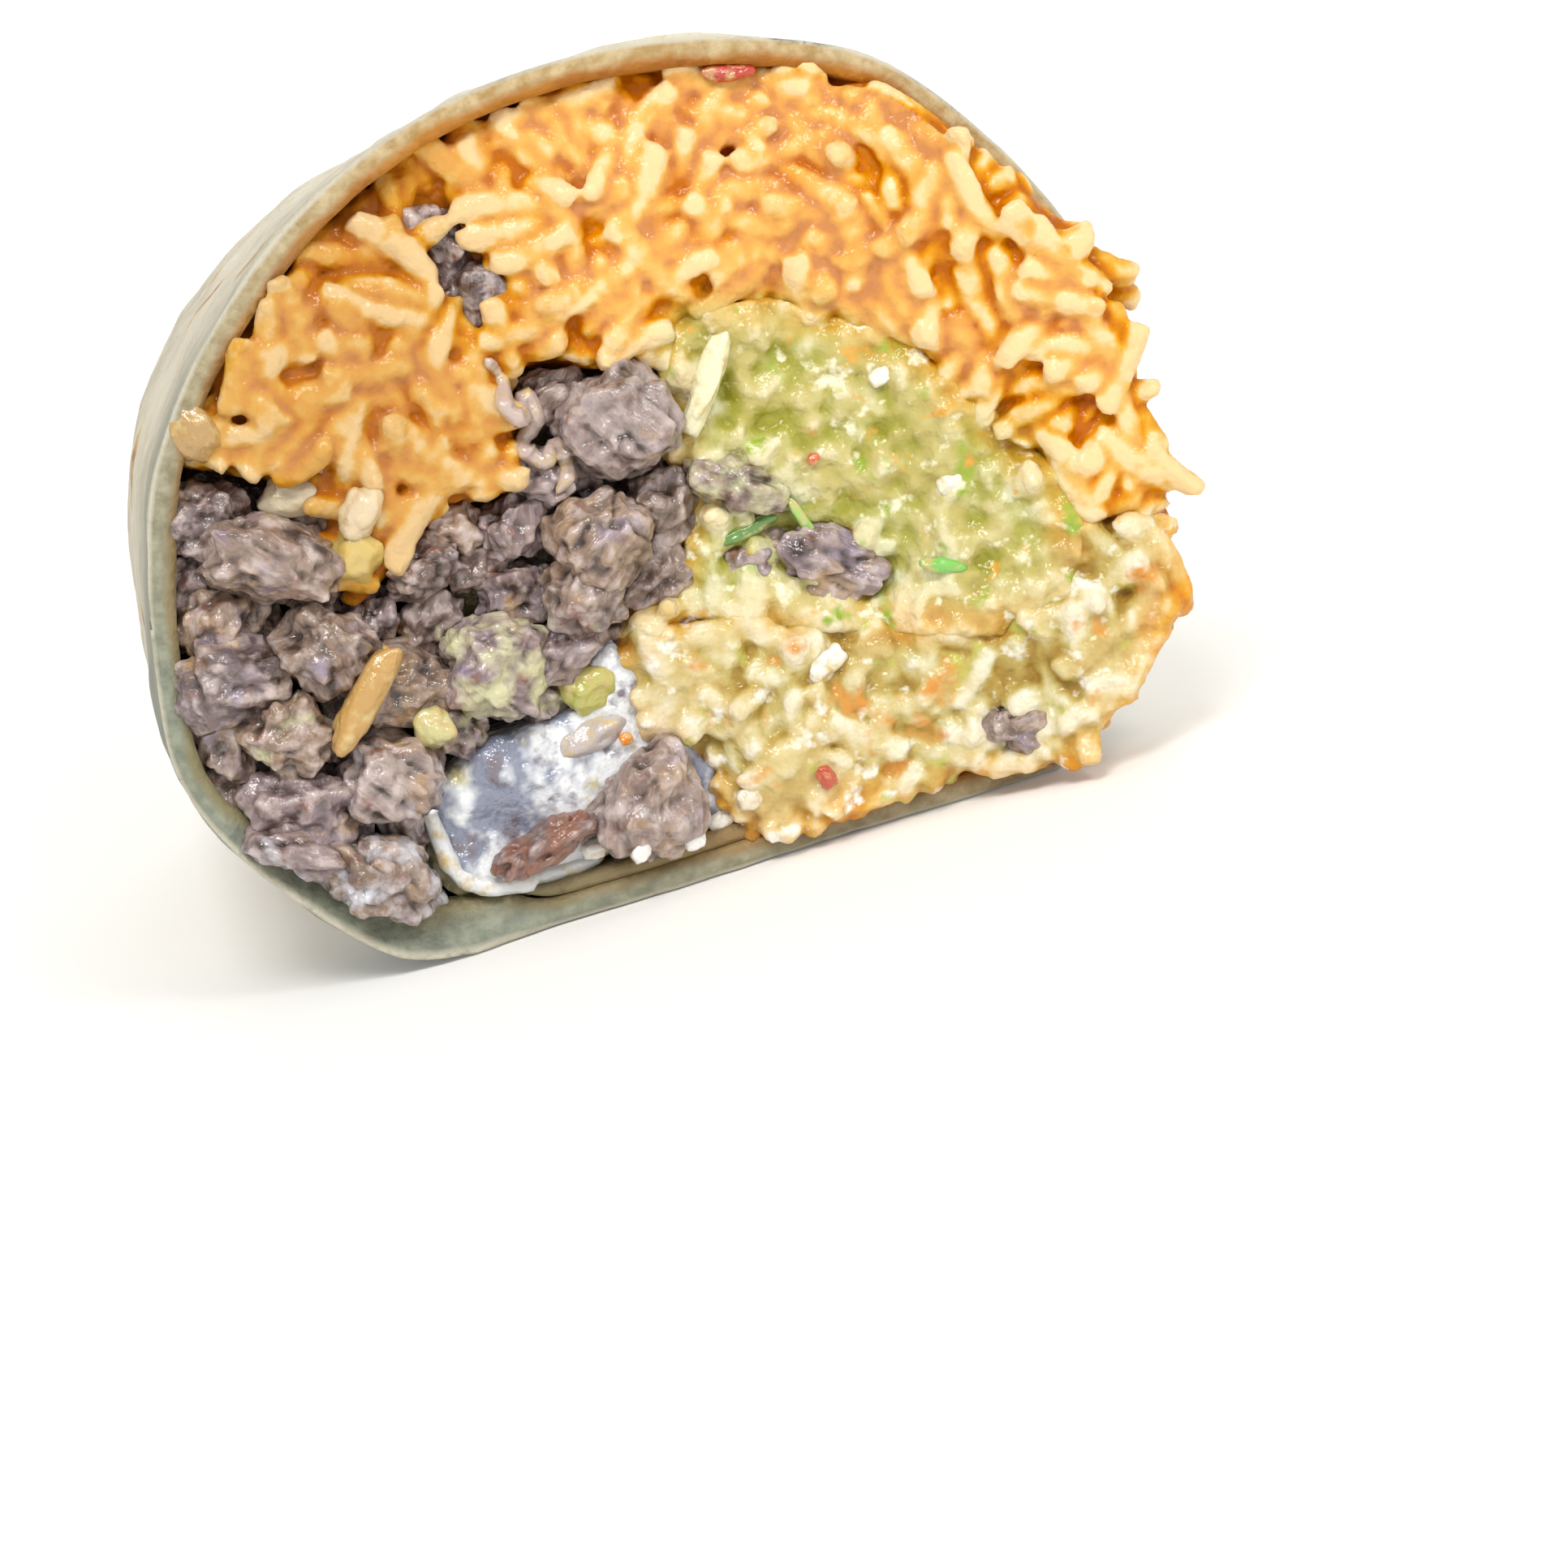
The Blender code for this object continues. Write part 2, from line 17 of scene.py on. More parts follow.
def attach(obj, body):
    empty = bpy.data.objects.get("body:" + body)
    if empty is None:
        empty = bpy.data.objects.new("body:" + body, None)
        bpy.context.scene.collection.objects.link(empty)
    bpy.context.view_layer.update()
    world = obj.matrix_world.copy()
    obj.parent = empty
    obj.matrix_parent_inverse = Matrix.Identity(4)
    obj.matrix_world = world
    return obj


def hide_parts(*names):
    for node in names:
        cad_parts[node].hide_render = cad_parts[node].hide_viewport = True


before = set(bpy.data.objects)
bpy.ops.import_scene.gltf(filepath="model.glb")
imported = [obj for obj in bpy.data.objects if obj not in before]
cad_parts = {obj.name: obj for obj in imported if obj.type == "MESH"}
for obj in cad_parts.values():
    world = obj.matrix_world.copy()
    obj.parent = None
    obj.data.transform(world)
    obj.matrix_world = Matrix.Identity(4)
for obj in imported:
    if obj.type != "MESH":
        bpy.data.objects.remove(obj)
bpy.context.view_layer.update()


def shown(name, data):
    """An object in the scene, at the origin."""
    thing = bpy.data.objects.new(name, data)
    bpy.context.scene.collection.objects.link(thing)
    return thing


# Camera, floor and light. The camera stands a little to the left of the cut and above it, and is turned about its
# own line of sight, because the roll leans in the picture and lies flat here. The floor is a plain pale board under
# large soft lights, and it glows a little itself, more the further out: painted light that keeps it evenly pale.
azimuth, elevation, lean = (math.radians(a) for a in (-9.5, 13.0, 15.0))
towards_camera = Vector((math.sin(azimuth) * math.cos(elevation), -math.cos(azimuth) * math.cos(elevation),
                         math.sin(elevation)))
level_right = (-towards_camera).cross(Vector((0, 0, 1))).normalized()
level_up = level_right.cross(-towards_camera)
picture_right = level_right * math.cos(lean) - level_up * math.sin(lean)
picture_up = level_right * math.sin(lean) + level_up * math.cos(lean)
camera = shown("camera", bpy.data.cameras.new("camera"))
camera.matrix_world = Matrix.Translation((-0.0663, -0.4684, 0.1038)) @ Matrix(
    (picture_right, picture_up, towards_camera)).transposed().to_4x4()
camera.data.sensor_width = 36.0
camera.data.lens = 124.19
camera.data.clip_start = 0.01
camera.data.clip_end = 50.0
bpy.context.scene.camera = camera


def on_screen(red, green, blue):
    """The linear colour of the 0 to 255 values that a surface shows on a screen."""
    linear = [c / 255 / 12.92 if c <= 10 else ((c / 255 + 0.055) / 1.055) ** 2.4 for c in (red, green, blue)]
    return (*linear, 1.0)


def add_node(tree, kind, settings=(), **inputs):
    """A node with its settings, and its inputs set or joined by name; an underscore stands for a space."""
    made = tree.nodes.new(kind)
    for key, value in dict(settings).items():
        setattr(made, key, value)
    for key, value in inputs.items():
        socket = made.inputs[key.replace("_", " ")]
        if isinstance(value, bpy.types.NodeSocket):
            tree.links.new(value, socket)
        else:
            socket.default_value = value
    return made


def new_finish(name, roughness, **fixed):
    """A Principled finish with its constant values set on the shader, and where it is on the piece."""
    finish = bpy.data.materials.new(name)
    finish.use_nodes = True
    tree = finish.node_tree
    shader = tree.nodes["Principled BSDF"]
    shader.inputs["Roughness"].default_value = roughness
    for key, value in fixed.items():
        shader.inputs[key.replace("_", " ")].default_value = value
    where = tree.nodes.new("ShaderNodeTexCoord").outputs["Object"]
    return finish, tree, shader, where


BOARD_RADIUS = 9.0
board_mesh = bpy.data.meshes.new("board")
board_mesh.from_pydata([(math.cos(a) * BOARD_RADIUS, math.sin(a) * BOARD_RADIUS, -0.0002)
                        for a in np.linspace(0, math.tau, 65)[:-1]], [], [tuple(range(64))])
board = shown("board", board_mesh)
board_finish, board_tree, board_shader, board_where = new_finish(
    "pale_board", 0.9, Base_Color=on_screen(243, 243, 241), Emission_Color=(1.0, 1.0, 1.0, 1.0))
far = add_node(board_tree, "ShaderNodeVectorMath", {"operation": "LENGTH"}, Vector=board_where).outputs["Value"]
# The board glows more the further it lies from the roll: painted light that keeps the far floor pale.
glow = add_node(board_tree, "ShaderNodeMapRange", Value=far, From_Min=0.3, From_Max=2.0, To_Min=0.08, To_Max=0.7)
board_tree.links.new(glow.outputs["Result"], board_shader.inputs["Emission Strength"])
board_mesh.materials.append(board_finish)


def soft_light(name, place, size, power, tint):
    lamp = bpy.data.lights.new(name, "AREA")
    lamp.size = size
    lamp.energy = power
    lamp.color = tint
    light = shown(name, lamp)
    light.location = place
    light.rotation_euler = (Vector((0, 0, 0.03)) - Vector(place)).to_track_quat("-Z", "Y").to_euler()


soft_light("window", (-0.22, -0.75, 0.85), 0.34, 6.4, (1.0, 0.985, 0.96))
soft_light("lamp", (0.3, -0.8, 0.7), 0.2, 2.4, (1.0, 0.985, 0.95))
soft_light("fill", (0.8, -0.75, 0.45), 0.9, 1.4, (0.97, 0.985, 1.0))
soft_light("behind", (0.3, 0.9, 0.8), 0.8, 4.0, (1.0, 0.99, 0.97))
world = bpy.data.worlds.new("room")
bpy.context.scene.world = world
world.use_nodes = True
world.node_tree.nodes["Background"].inputs["Color"].default_value = (1.0, 0.99, 0.97, 1.0)
world.node_tree.nodes["Background"].inputs["Strength"].default_value = 0.6
bpy.context.scene.view_settings.view_transform = "Standard"
bpy.context.scene.view_settings.look = "None"

# The tortilla. A soft wheat sheet 2 mm thick, rolled round the filling and tucked shut at its far end. Its soaked
# inner end stands up inside the roll; its outer edge lies under the roll. Griddle spots mark the outside, sauce
# stains the inside, and the cut edge is pale crumb.
LENGTH = 98.0
CUT_Y = -49.0
SHEET = 2.1
FLAP_SHEET = 1.0
LAP_GAP = 0.08
SHEET_TOP = 66.4
TAPER_WIDE = 0.19
TAPER_HIGH = 0.20
LEAN = 3.5
TUCK_START = 66.0
TUCK_POWER = 2.4
TUCK_HEIGHT = 24.0
SEAM_X = 27.0
FLAT_LEFT_X = -24.0
SHEET_SIDE = [
    (-30.0, 1.6), (-36.2, 8.0), (-40.6, 14.6), (-42.7, 21.0), (-42.2, 28.0), (-40.6, 36.0),
    (-37.6, 44.4), (-31.2, 52.8), (-21.5, 60.4), (-10.0, 65.2), (3.0, 66.4), (15.5, 64.4),
    (26.0, 59.8), (33.4, 51.2), (38.6, 41.0), (40.4, 30.0), (39.9, 19.5), (37.2, 9.4),
]
LAP_START = (31.6, 3.6)
HOLLOW_END = LENGTH - 1.2 * SHEET


def smoothstep(low, high, value):
    t = min(1.0, max(0.0, (value - low) / (high - low)))
    return t * t * (3 - 2 * t)


def smooth_run(points, steps):
    """A smooth run of points through the given ones, `steps` to each span, with the ends held."""
    ends = [points[0], *points, points[-1]]
    run = []
    for before, here, there, after in zip(ends, ends[1:], ends[2:], ends[3:]):
        for i in range(steps):
            t = i / steps
            run.append(tuple(0.5 * (2 * q + (r - p) * t + (2 * p - 5 * q + 4 * r - s) * t * t
                                    + (3 * q - p - 3 * r + s) * t ** 3)
                             for p, q, r, s in zip(before, here, there, after)))
    return [*run, points[-1]]


def inward(run, distance):
    """The run moved to its right-hand side, which is the inside of the roll."""
    moved = []
    for i, (x, z) in enumerate(run):
        before, after = run[max(i - 1, 0)], run[min(i + 1, len(run) - 1)]
        along = Vector((after[0] - before[0], after[1] - before[1])).normalized()
        reach = distance(i / len(run)) if callable(distance) else distance
        moved.append((x + along.y * reach, z - along.x * reach))
    return moved


def subdivided(outline, step):
    """The closed outline with points added so that no side is much longer than step."""
    run = []
    for a, b in zip(outline, [*outline[1:], outline[0]]):
        parts = max(1, round(math.dist(a, b) / step))
        run += [(a[0] + (b[0] - a[0]) * i / parts, a[1] + (b[1] - a[1]) * i / parts) for i in range(parts)]
    return run


def tuck_at(depth, end):
    """How open the roll still is at a depth, as a share: 1 before the tucked end and 0 where it closes."""
    share = min(1.0, max(0.0, (depth - TUCK_START) / (end - TUCK_START)))
    return max(0.0, 1 - share ** TUCK_POWER) ** (1 / TUCK_POWER)


def placed(x, z, depth, end):
    """A point of the cut face carried back along the roll to a depth, still in mm."""
    tuck, along = tuck_at(depth, end), depth / LENGTH
    wide = x * (1 - TAPER_WIDE * along) - LEAN * along * z / SHEET_TOP
    high = z * (1 - TAPER_HIGH * along)
    return Vector((wide * tuck, CUT_Y + depth, high * tuck + TUCK_HEIGHT * (1 - tuck)))


def tuck_depths(start, end, rings):
    """Depths that step evenly round the rounded end."""
    return [start + (end - start) * math.sin(math.pi / 2 * k / rings) ** (2 / TUCK_POWER) for k in range(1, rings)]


def uneven_thickness(share):
    return SHEET + 0.28 * noise.noise((share * 14, 3.1, 0)) + 0.12 * noise.noise((share * 60, 8.1, 0))


sheet_side = smooth_run([(FLAT_LEFT_X, 0.0), *SHEET_SIDE, LAP_START], 9)
lap_top = SHEET + LAP_GAP
seam_groove = [(28.4, 2.75), (27.2, 2.42), (25.6, lap_top), (25.6, SHEET), (SEAM_X, 2.0), (27.25, 1.4), (27.2, 0.6),
               (26.8, 0.12), (26.0, 0.0)]
sheet_outside = subdivided([*seam_groove, *sheet_side], 0.75)
inside_wall = [(x, z) for x, z in inward(sheet_side, uneven_thickness)
               if z > (SHEET + 0.1 if x < 0 else lap_top + 1.0)]
flap = smooth_run([(-21.0, lap_top + 0.3), (-23.2, 3.6), (-24.7, 5.4), (-25.4, 8.2), (-25.3, 10.8), (-26.2, 13.6)], 6)
sheet_hollow = subdivided([
    *reversed(flap), (-14.0, lap_top), (24.2, lap_top), (24.2, SHEET), (FLAT_LEFT_X, SHEET), *inside_wall,
    (28.0, lap_top + SHEET), (10.0, lap_top + 0.75 * SHEET), (-14.0, lap_top + FLAP_SHEET + 0.1),
    *inward(flap, lambda share: FLAP_SHEET * (1.05 - 0.35 * share)), (-25.85, 13.75)], 0.6)


def in_outline(xs, zs, outline):
    """Which of the points lie inside a closed outline."""
    hit = np.zeros(np.shape(xs), bool)
    for (ax, az), (bx, bz) in zip(outline, [*outline[1:], outline[0]]):
        if az != bz:
            hit ^= ((az > zs) != (bz > zs)) & (xs < ax + (zs - az) * (bx - ax) / (bz - az))
    return hit


def from_outline(xs, zs, outline):
    """How far the points are from a closed outline."""
    best = np.full(np.shape(xs), 1e9)
    for (ax, az), (bx, bz) in zip(outline, [*outline[1:], outline[0]]):
        long = (bx - ax) ** 2 + (bz - az) ** 2
        t = np.clip(((xs - ax) * (bx - ax) + (zs - az) * (bz - az)) / max(long, 1e-9), 0, 1)
        best = np.minimum(best, np.hypot(xs - ax - t * (bx - ax), zs - az - t * (bz - az)))
    return best


def evenly_filled(loops, step, seed):
    """Loops of points and points spread between them, joined by triangles; holes are left open."""
    outer = np.array(loops[0])
    draw = np.random.default_rng(seed)
    xs, zs = np.meshgrid(np.arange(outer[:, 0].min(), outer[:, 0].max(), step),
                         np.arange(outer[:, 1].min(), outer[:, 1].max(), step * 0.87))
    xs[1::2] += step / 2
    xs = (xs + draw.uniform(-0.2, 0.2, xs.shape) * step).ravel()
    zs = (zs + draw.uniform(-0.2, 0.2, zs.shape) * step).ravel()
    keep = in_outline(xs, zs, loops[0])
    for loop in loops:
        keep &= from_outline(xs, zs, loop) > step * 0.6
    for hole in loops[1:]:
        keep &= ~in_outline(xs, zs, hole)
    rim = [p for loop in loops for p in loop]
    edges, start = [], 0
    for loop in loops:
        edges += [(start + i, start + (i + 1) % len(loop)) for i in range(len(loop))]
        start += len(loop)
    flat = [Vector(p) for p in [*rim, *zip(xs[keep], zs[keep])]]
    points, _, faces, sources, _, _ = delaunay_2d_cdt(flat, edges, [], 1, 1e-6)
    if len(loops) > 1:
        middles = np.array([[sum(points[i][k] for i in face) / len(face) for k in (0, 1)] for face in faces])
        in_hole = np.zeros(len(faces), bool)
        for hole in loops[1:]:
            in_hole |= in_outline(middles[:, 0], middles[:, 1], hole)
        faces = [face for face, gone in zip(faces, in_hole) if not gone]
    found = {k: i for i, from_list in enumerate(sources) for k in from_list}
    return points, faces, [found[k] for k in range(len(rim))]


# creases of the tucked end: where each starts round the end, in turns, and how much it stands up, in mm
PLEATS = [(0.04, 1.3), (0.19, 1.7), (0.33, 1.2), (0.47, 1.8), (0.64, 1.4), (0.83, 1.6)]


def sheet_relief(x, z, depth):
    """How far the sheet's outside stands out at a place: slack, blisters and the pleats of the tucked end."""
    around = math.atan2(z - TUCK_HEIGHT, x)
    ground = smoothstep(1.0, 7.0, z)
    where = Vector((x, depth, z))
    slack = 0.4 * noise.noise(where * 0.045) + 0.12 * noise.noise(where * 0.11 + Vector((9, 0, 0)))
    blister = max(0.0, noise.noise(where * 0.16 + Vector((31, 5, 2))) - 0.15) * 0.7
    folds = 0.25 * noise.noise(Vector((around * 7, depth * 0.03, 4.0)))
    size = tuck_at(depth, LENGTH)
    turn = (around / math.tau + 0.055 * (1 - size) + 0.02 * noise.noise(where * 0.05)) % 1.0
    pleat = 0.0
    for k, (start, height) in enumerate(PLEATS):
        end = PLEATS[(k + 1) % len(PLEATS)][0]
        along = ((turn - start) % 1.0) / ((end - start) % 1.0)
        if along < 1:
            pleat = height * (1 - along) ** 1.6 * smoothstep(0.0, 0.05, along)
    pleat *= smoothstep(0.99, 0.72, size) * smoothstep(0.02, 0.4, size)
    fine = 0.06 * noise.noise(where * 0.9)
    return (slack + folds + blister) * ground + pleat * smoothstep(-1, 3, z + 6 * (1 - size)) + fine * ground


def plain_mesh(name, verts, faces, smooth=True):
    """A mesh from points in mm, its faces turned outwards."""
    mesh = bpy.data.meshes.new(name)
    mesh.from_pydata([tuple(c * 0.001 for c in v) for v in verts], [], faces)
    turned = bmesh.new()
    turned.from_mesh(mesh)
    bmesh.ops.recalc_face_normals(turned, faces=turned.faces)
    turned.to_mesh(mesh)
    turned.free()
    mesh.polygons.foreach_set("use_smooth", [smooth] * len(mesh.polygons))
    return mesh


def keep_on(mesh, label, values, kind="FLOAT"):
    """Keeps a value, vector or colour for each of a mesh's points."""
    part = {"FLOAT": "value", "FLOAT_VECTOR": "vector", "FLOAT_COLOR": "color"}[kind]
    mesh.attributes.new(label, kind, "POINT").data.foreach_set(part, np.ascontiguousarray(values, np.float32).ravel())


def laid_in_frame(name, mesh, finish, *stands_for):
    """Shows a finished mesh, riding on the part's one body in place of the solids that it stands for."""
    piece = shown(name, mesh)
    mesh.materials.clear()
    mesh.materials.append(finish)
    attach(piece, "root")
    if stands_for:
        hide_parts(*stands_for)
    return piece


def carry_back(verts, faces, first, depths, end, relief, outline=None):
    """Carries a closed run of points back through the depths and closes it at the last one."""
    ring = first
    outline = outline or [(verts[i][0], verts[i][2]) for i in first]
    for depth in depths:
        start = len(verts)
        for x, z in outline:
            at = placed(x, z, depth, end)
            if relief:
                out = Vector((at.x, (1 - tuck_at(depth, LENGTH)) * 30, at.z - TUCK_HEIGHT)).normalized()
                at += out * sheet_relief(at.x, at.z, depth) * (1 if z > 0.5 else 0)
            verts.append(tuple(at))
        faces += [(ring[i], ring[(i + 1) % len(ring)], start + (i + 1) % len(ring), start + i)
                  for i in range(len(ring))]
        ring = list(range(start, len(verts)))
    middle = np.mean([verts[i] for i in ring], axis=0)
    verts.append((middle[0], CUT_Y + end, middle[2]))
    faces += [(ring[i], ring[(i + 1) % len(ring)], len(verts) - 1) for i in range(len(ring))]


def lip_at(x, z):
    """Where the sheet's soft edge flares out at the bottom left, so that some of its inner face shows."""
    return smoothstep(-16, -24, x) * smoothstep(19, 9, z)


def flared(outline):
    """The hollow's edge, moved in where the sheet flares."""
    moved = []
    for (x, z), near in zip(outline, from_outline(*np.array(outline).T, sheet_outside[::2])):
        out = Vector((x, z - 26.0)).normalized() * 2.6 * lip_at(x, z) * smoothstep(4.5, 2.8, near)
        moved.append((x - out.x, z - out.y))
    return moved


def build_sheet():
    hollow_edge = flared(sheet_hollow)
    points, crumb, rims = evenly_filled([sheet_outside, hollow_edge], 0.5, 3)
    outer, inner = rims[:len(sheet_outside)], rims[len(sheet_outside):]
    xs, zs = np.array(points).T
    to_outside, to_hollow = from_outline(xs, zs, sheet_outside), from_outline(xs, zs, hollow_edge)
    to_edge = np.minimum(to_outside, to_hollow)
    verts = []
    inside_share = to_outside / (to_outside + to_hollow)
    for x, z, edge, inside in zip(xs, zs, to_edge, inside_share):
        where = Vector((x, 0, z))
        knife = 0.5 * noise.noise(where * 0.07) + 0.25 * noise.noise(where * 0.4)
        torn = 0.16 * noise.noise(where * 2.1) * min(1.0, edge * 2)
        flare = lip_at(x, z) * (3.6 * inside - 1.2)
        verts.append((x, CUT_Y + knife + torn + flare + 0.3 * max(0.0, 1 - edge / 0.4), z))
    faces = list(crumb)
    sides = list(0.25 + 0.5 * inside_share)
    before = len(verts)
    carry_back(verts, faces, outer, [0.5, 1.0, 1.7, *np.linspace(2.6, TUCK_START, 58),
                                     *tuck_depths(TUCK_START, LENGTH, 46)], LENGTH, True)
    sides += [0.0] * (len(verts) - before)
    before = len(verts)
    carry_back(verts, faces, inner, [2.9, 4, 5.5, 7.5, 10, 16, 32, 48, TUCK_START,
                                     *tuck_depths(TUCK_START, HOLLOW_END, 8)], HOLLOW_END, False, sheet_hollow)
    sides += [1.0] * (len(verts) - before)
    mesh = plain_mesh("tortilla_sheet", verts, faces)
    keep_on(mesh, "side", sides)
    return mesh


def between(tree, factor, low, high):
    """The colour between two, by a factor; a plain colour is given as it shows on a screen."""
    mix = tree.nodes.new("ShaderNodeMix")
    mix.data_type = "RGBA"
    for socket, value in ((mix.inputs[0], factor), (mix.inputs[6], low), (mix.inputs[7], high)):
        if isinstance(value, bpy.types.NodeSocket):
            tree.links.new(value, socket)
        else:
            socket.default_value = on_screen(*value) if isinstance(value, tuple) else value
    return mix.outputs[2]


def shaded(tree, factor, tones):
    """A run of colours over a factor from 0 to 1: how far along each stands, and how it shows on a screen."""
    ramp = add_node(tree, "ShaderNodeValToRGB", Fac=factor)
    steps = ramp.color_ramp.elements
    steps[0].color, steps[1].color = on_screen(*tones[0][1]), on_screen(*tones[-1][1])
    for at, tone in tones[1:-1]:
        steps.new(at).color = on_screen(*tone)
    return ramp.outputs["Color"]


def patches(tree, where, size_mm, low, high, detail=3.0, roughness=0.55, shift=0.0, most=1.0):
    """A soft-edged pattern of patches of a size: 0 where the noise is under low, most where it is over high."""
    moved = add_node(tree, "ShaderNodeMapping", Vector=where, Location=(shift, shift * 0.7, shift * 1.3))
    cloud = add_node(tree, "ShaderNodeTexNoise", Vector=moved.outputs[0], Scale=1000.0 / size_mm, Detail=detail,
                     Roughness=roughness)
    ranged = add_node(tree, "ShaderNodeMapRange", Value=cloud.outputs["Fac"], From_Min=low, From_Max=high, To_Max=most)
    return ranged.outputs["Result"]


def worked_out(tree, operation, a, b=0.0):
    made = add_node(tree, "ShaderNodeMath", {"operation": operation, "use_clamp": False})
    for socket, value in zip(made.inputs, (a, b)):
        if isinstance(value, bpy.types.NodeSocket):
            tree.links.new(value, socket)
        else:
            socket.default_value = value
    return made.outputs[0]


def raised(tree, shader, height, depth_mm, strength=1.0):
    """Turns the surface by a height pattern that is depth_mm deep."""
    bump = add_node(tree, "ShaderNodeBump", Height=height, Strength=strength, Distance=depth_mm * 0.001)
    tree.links.new(bump.outputs["Normal"], shader.inputs["Normal"])
    tree.links.new(bump.outputs["Normal"], shader.inputs["Coat Normal"])


def tortilla_finish():
    finish, tree, shader, where = new_finish(
        "baked_tortilla", 0.6, Subsurface_Weight=0.12, Subsurface_Radius=(1.0, 0.75, 0.45), Subsurface_Scale=0.0015,
        Specular_IOR_Level=0.35)
    side = add_node(tree, "ShaderNodeAttribute", {"attribute_name": "side"}).outputs["Fac"]
    at = add_node(tree, "ShaderNodeSeparateXYZ", Vector=where).outputs
    # shade runs from 0 at the left and bottom of the cut face to 1 at the right and top; it sets where painted shade
    # falls below.
    shade = worked_out(tree, "ADD", worked_out(tree, "MULTIPLY", at["X"], 14.0),
                       worked_out(tree, "MULTIPLY", at["Z"], 12.0))
    shade = add_node(tree, "ShaderNodeMapRange", Value=shade, From_Min=-0.25, From_Max=0.6).outputs[0]
    dough = between(tree, patches(tree, where, 18, 0.38, 0.66), (192, 184, 162), (216, 208, 186))
    dough = between(tree, patches(tree, where, 2.6, 0.45, 0.8, shift=2), dough, (224, 217, 200))
    dough = between(tree, patches(tree, where, 4.5, 0.6, 0.74, shift=7, most=0.6), dough,
                    (196, 164, 118))
    bent = add_node(tree, "ShaderNodeTexNoise", Vector=where, Scale=150.0, Detail=4.0)
    nudged = add_node(tree, "ShaderNodeVectorMath", {"operation": "MULTIPLY_ADD"})
    tree.links.new(bent.outputs["Color"], nudged.inputs[0])
    nudged.inputs[1].default_value = (0.016, 0.016, 0.016)
    tree.links.new(where, nudged.inputs[2])
    griddle = add_node(tree, "ShaderNodeTexVoronoi", Vector=nudged.outputs[0], Scale=74.0, Randomness=1.0)
    near = add_node(tree, "ShaderNodeMapRange", Value=griddle.outputs["Distance"], From_Min=0.12, From_Max=0.34,
                    To_Min=1.0, To_Max=0.0).outputs[0]
    chosen = add_node(tree, "ShaderNodeSeparateColor", Color=griddle.outputs["Color"])
    spot = worked_out(tree, "MULTIPLY", near, worked_out(tree, "GREATER_THAN", chosen.outputs[0], 0.42))
    pale_spot = add_node(tree, "ShaderNodeMapRange", Value=spot, From_Min=0.02, From_Max=0.35).outputs[0]
    dark_spot = add_node(tree, "ShaderNodeMapRange", Value=spot, From_Min=0.42, From_Max=0.8, To_Max=0.85).outputs[0]
    charred = between(tree, patches(tree, where, 2.0, 0.4, 0.6, shift=15), (150, 92, 56), (112, 66, 42))
    baked = between(tree, pale_spot, dough, (204, 176, 132))
    baked = between(tree, dark_spot, baked, charred)
    # A grey-green band on the outside along the cut, strongest towards the left and bottom: painted shadow.
    shadow_band = worked_out(tree, "SUBTRACT", at["Y"], patches(tree, where, 9, 0.3, 0.7, shift=19, most=0.01))
    shadow_band = add_node(tree, "ShaderNodeMapRange", {"interpolation_type": "SMOOTHSTEP"}, Value=shadow_band, From_Min=-0.054,
                      From_Max=-0.028, To_Min=1.0, To_Max=0.0).outputs[0]
    shadow_band_strength = worked_out(tree, "SUBTRACT", 0.9, worked_out(tree, "MULTIPLY", shade, 0.8))
    baked = between(tree, worked_out(tree, "MULTIPLY", shadow_band, shadow_band_strength), baked, (124, 128, 116))
    # The cut crumb is greyer and darker towards the left and bottom, as painted shade, and warmer and lighter towards
    # the right and top.
    tones = []
    for low, high in (((116, 122, 108), (146, 150, 132)), ((164, 134, 82), (192, 172, 132))):
        tones.append(between(tree, patches(tree, where, 1.4, 0.35, 0.65, shift=5), low, high))
    crumb = between(tree, shade, tones[0], tones[1])
    line = add_node(tree, "ShaderNodeMapRange", Value=side, From_Min=0.34, From_Max=0.27).outputs[0]
    crumb = between(tree, line, crumb, (192, 186, 168))
    stained = between(tree, patches(tree, where, 7, 0.35, 0.65, shift=8), (184, 124, 40),
                      (150, 88, 20))
    # The inside is painted grey towards the left and bottom: painted shade over the sauce stain.
    stained = between(tree, shade, (132, 124, 92), stained)
    ragged = worked_out(tree, "ADD", side, worked_out(tree, "MULTIPLY", worked_out(
        tree, "SUBTRACT", patches(tree, where, 4, 0.3, 0.7, shift=11), 0.5), 0.12))
    soaked = add_node(tree, "ShaderNodeMapRange", Value=ragged, From_Min=0.48, From_Max=0.64).outputs[0]
    edge = add_node(tree, "ShaderNodeMapRange", Value=side, From_Min=0.08, From_Max=0.24).outputs[0]
    colour = between(tree, soaked, between(tree, edge, baked, crumb), stained)
    tree.links.new(colour, shader.inputs["Base Color"])
    damp = add_node(tree, "ShaderNodeMapRange", Value=side, From_Min=0.2, From_Max=0.9, To_Min=0.62, To_Max=0.38)
    tree.links.new(damp.outputs[0], shader.inputs["Roughness"])
    coarse = patches(tree, where, 5, 0.2, 0.8, detail=2)
    fine = patches(tree, where, 0.8, 0.2, 0.8, detail=3, shift=3)
    height = worked_out(tree, "ADD", worked_out(tree, "MULTIPLY", coarse, 0.6), worked_out(tree, "MULTIPLY", fine, 0.4))
    raised(tree, shader, height, 0.35)
    return finish


tortilla_sheet = laid_in_frame("tortilla_sheet", build_sheet(), tortilla_finish(), "tortilla")

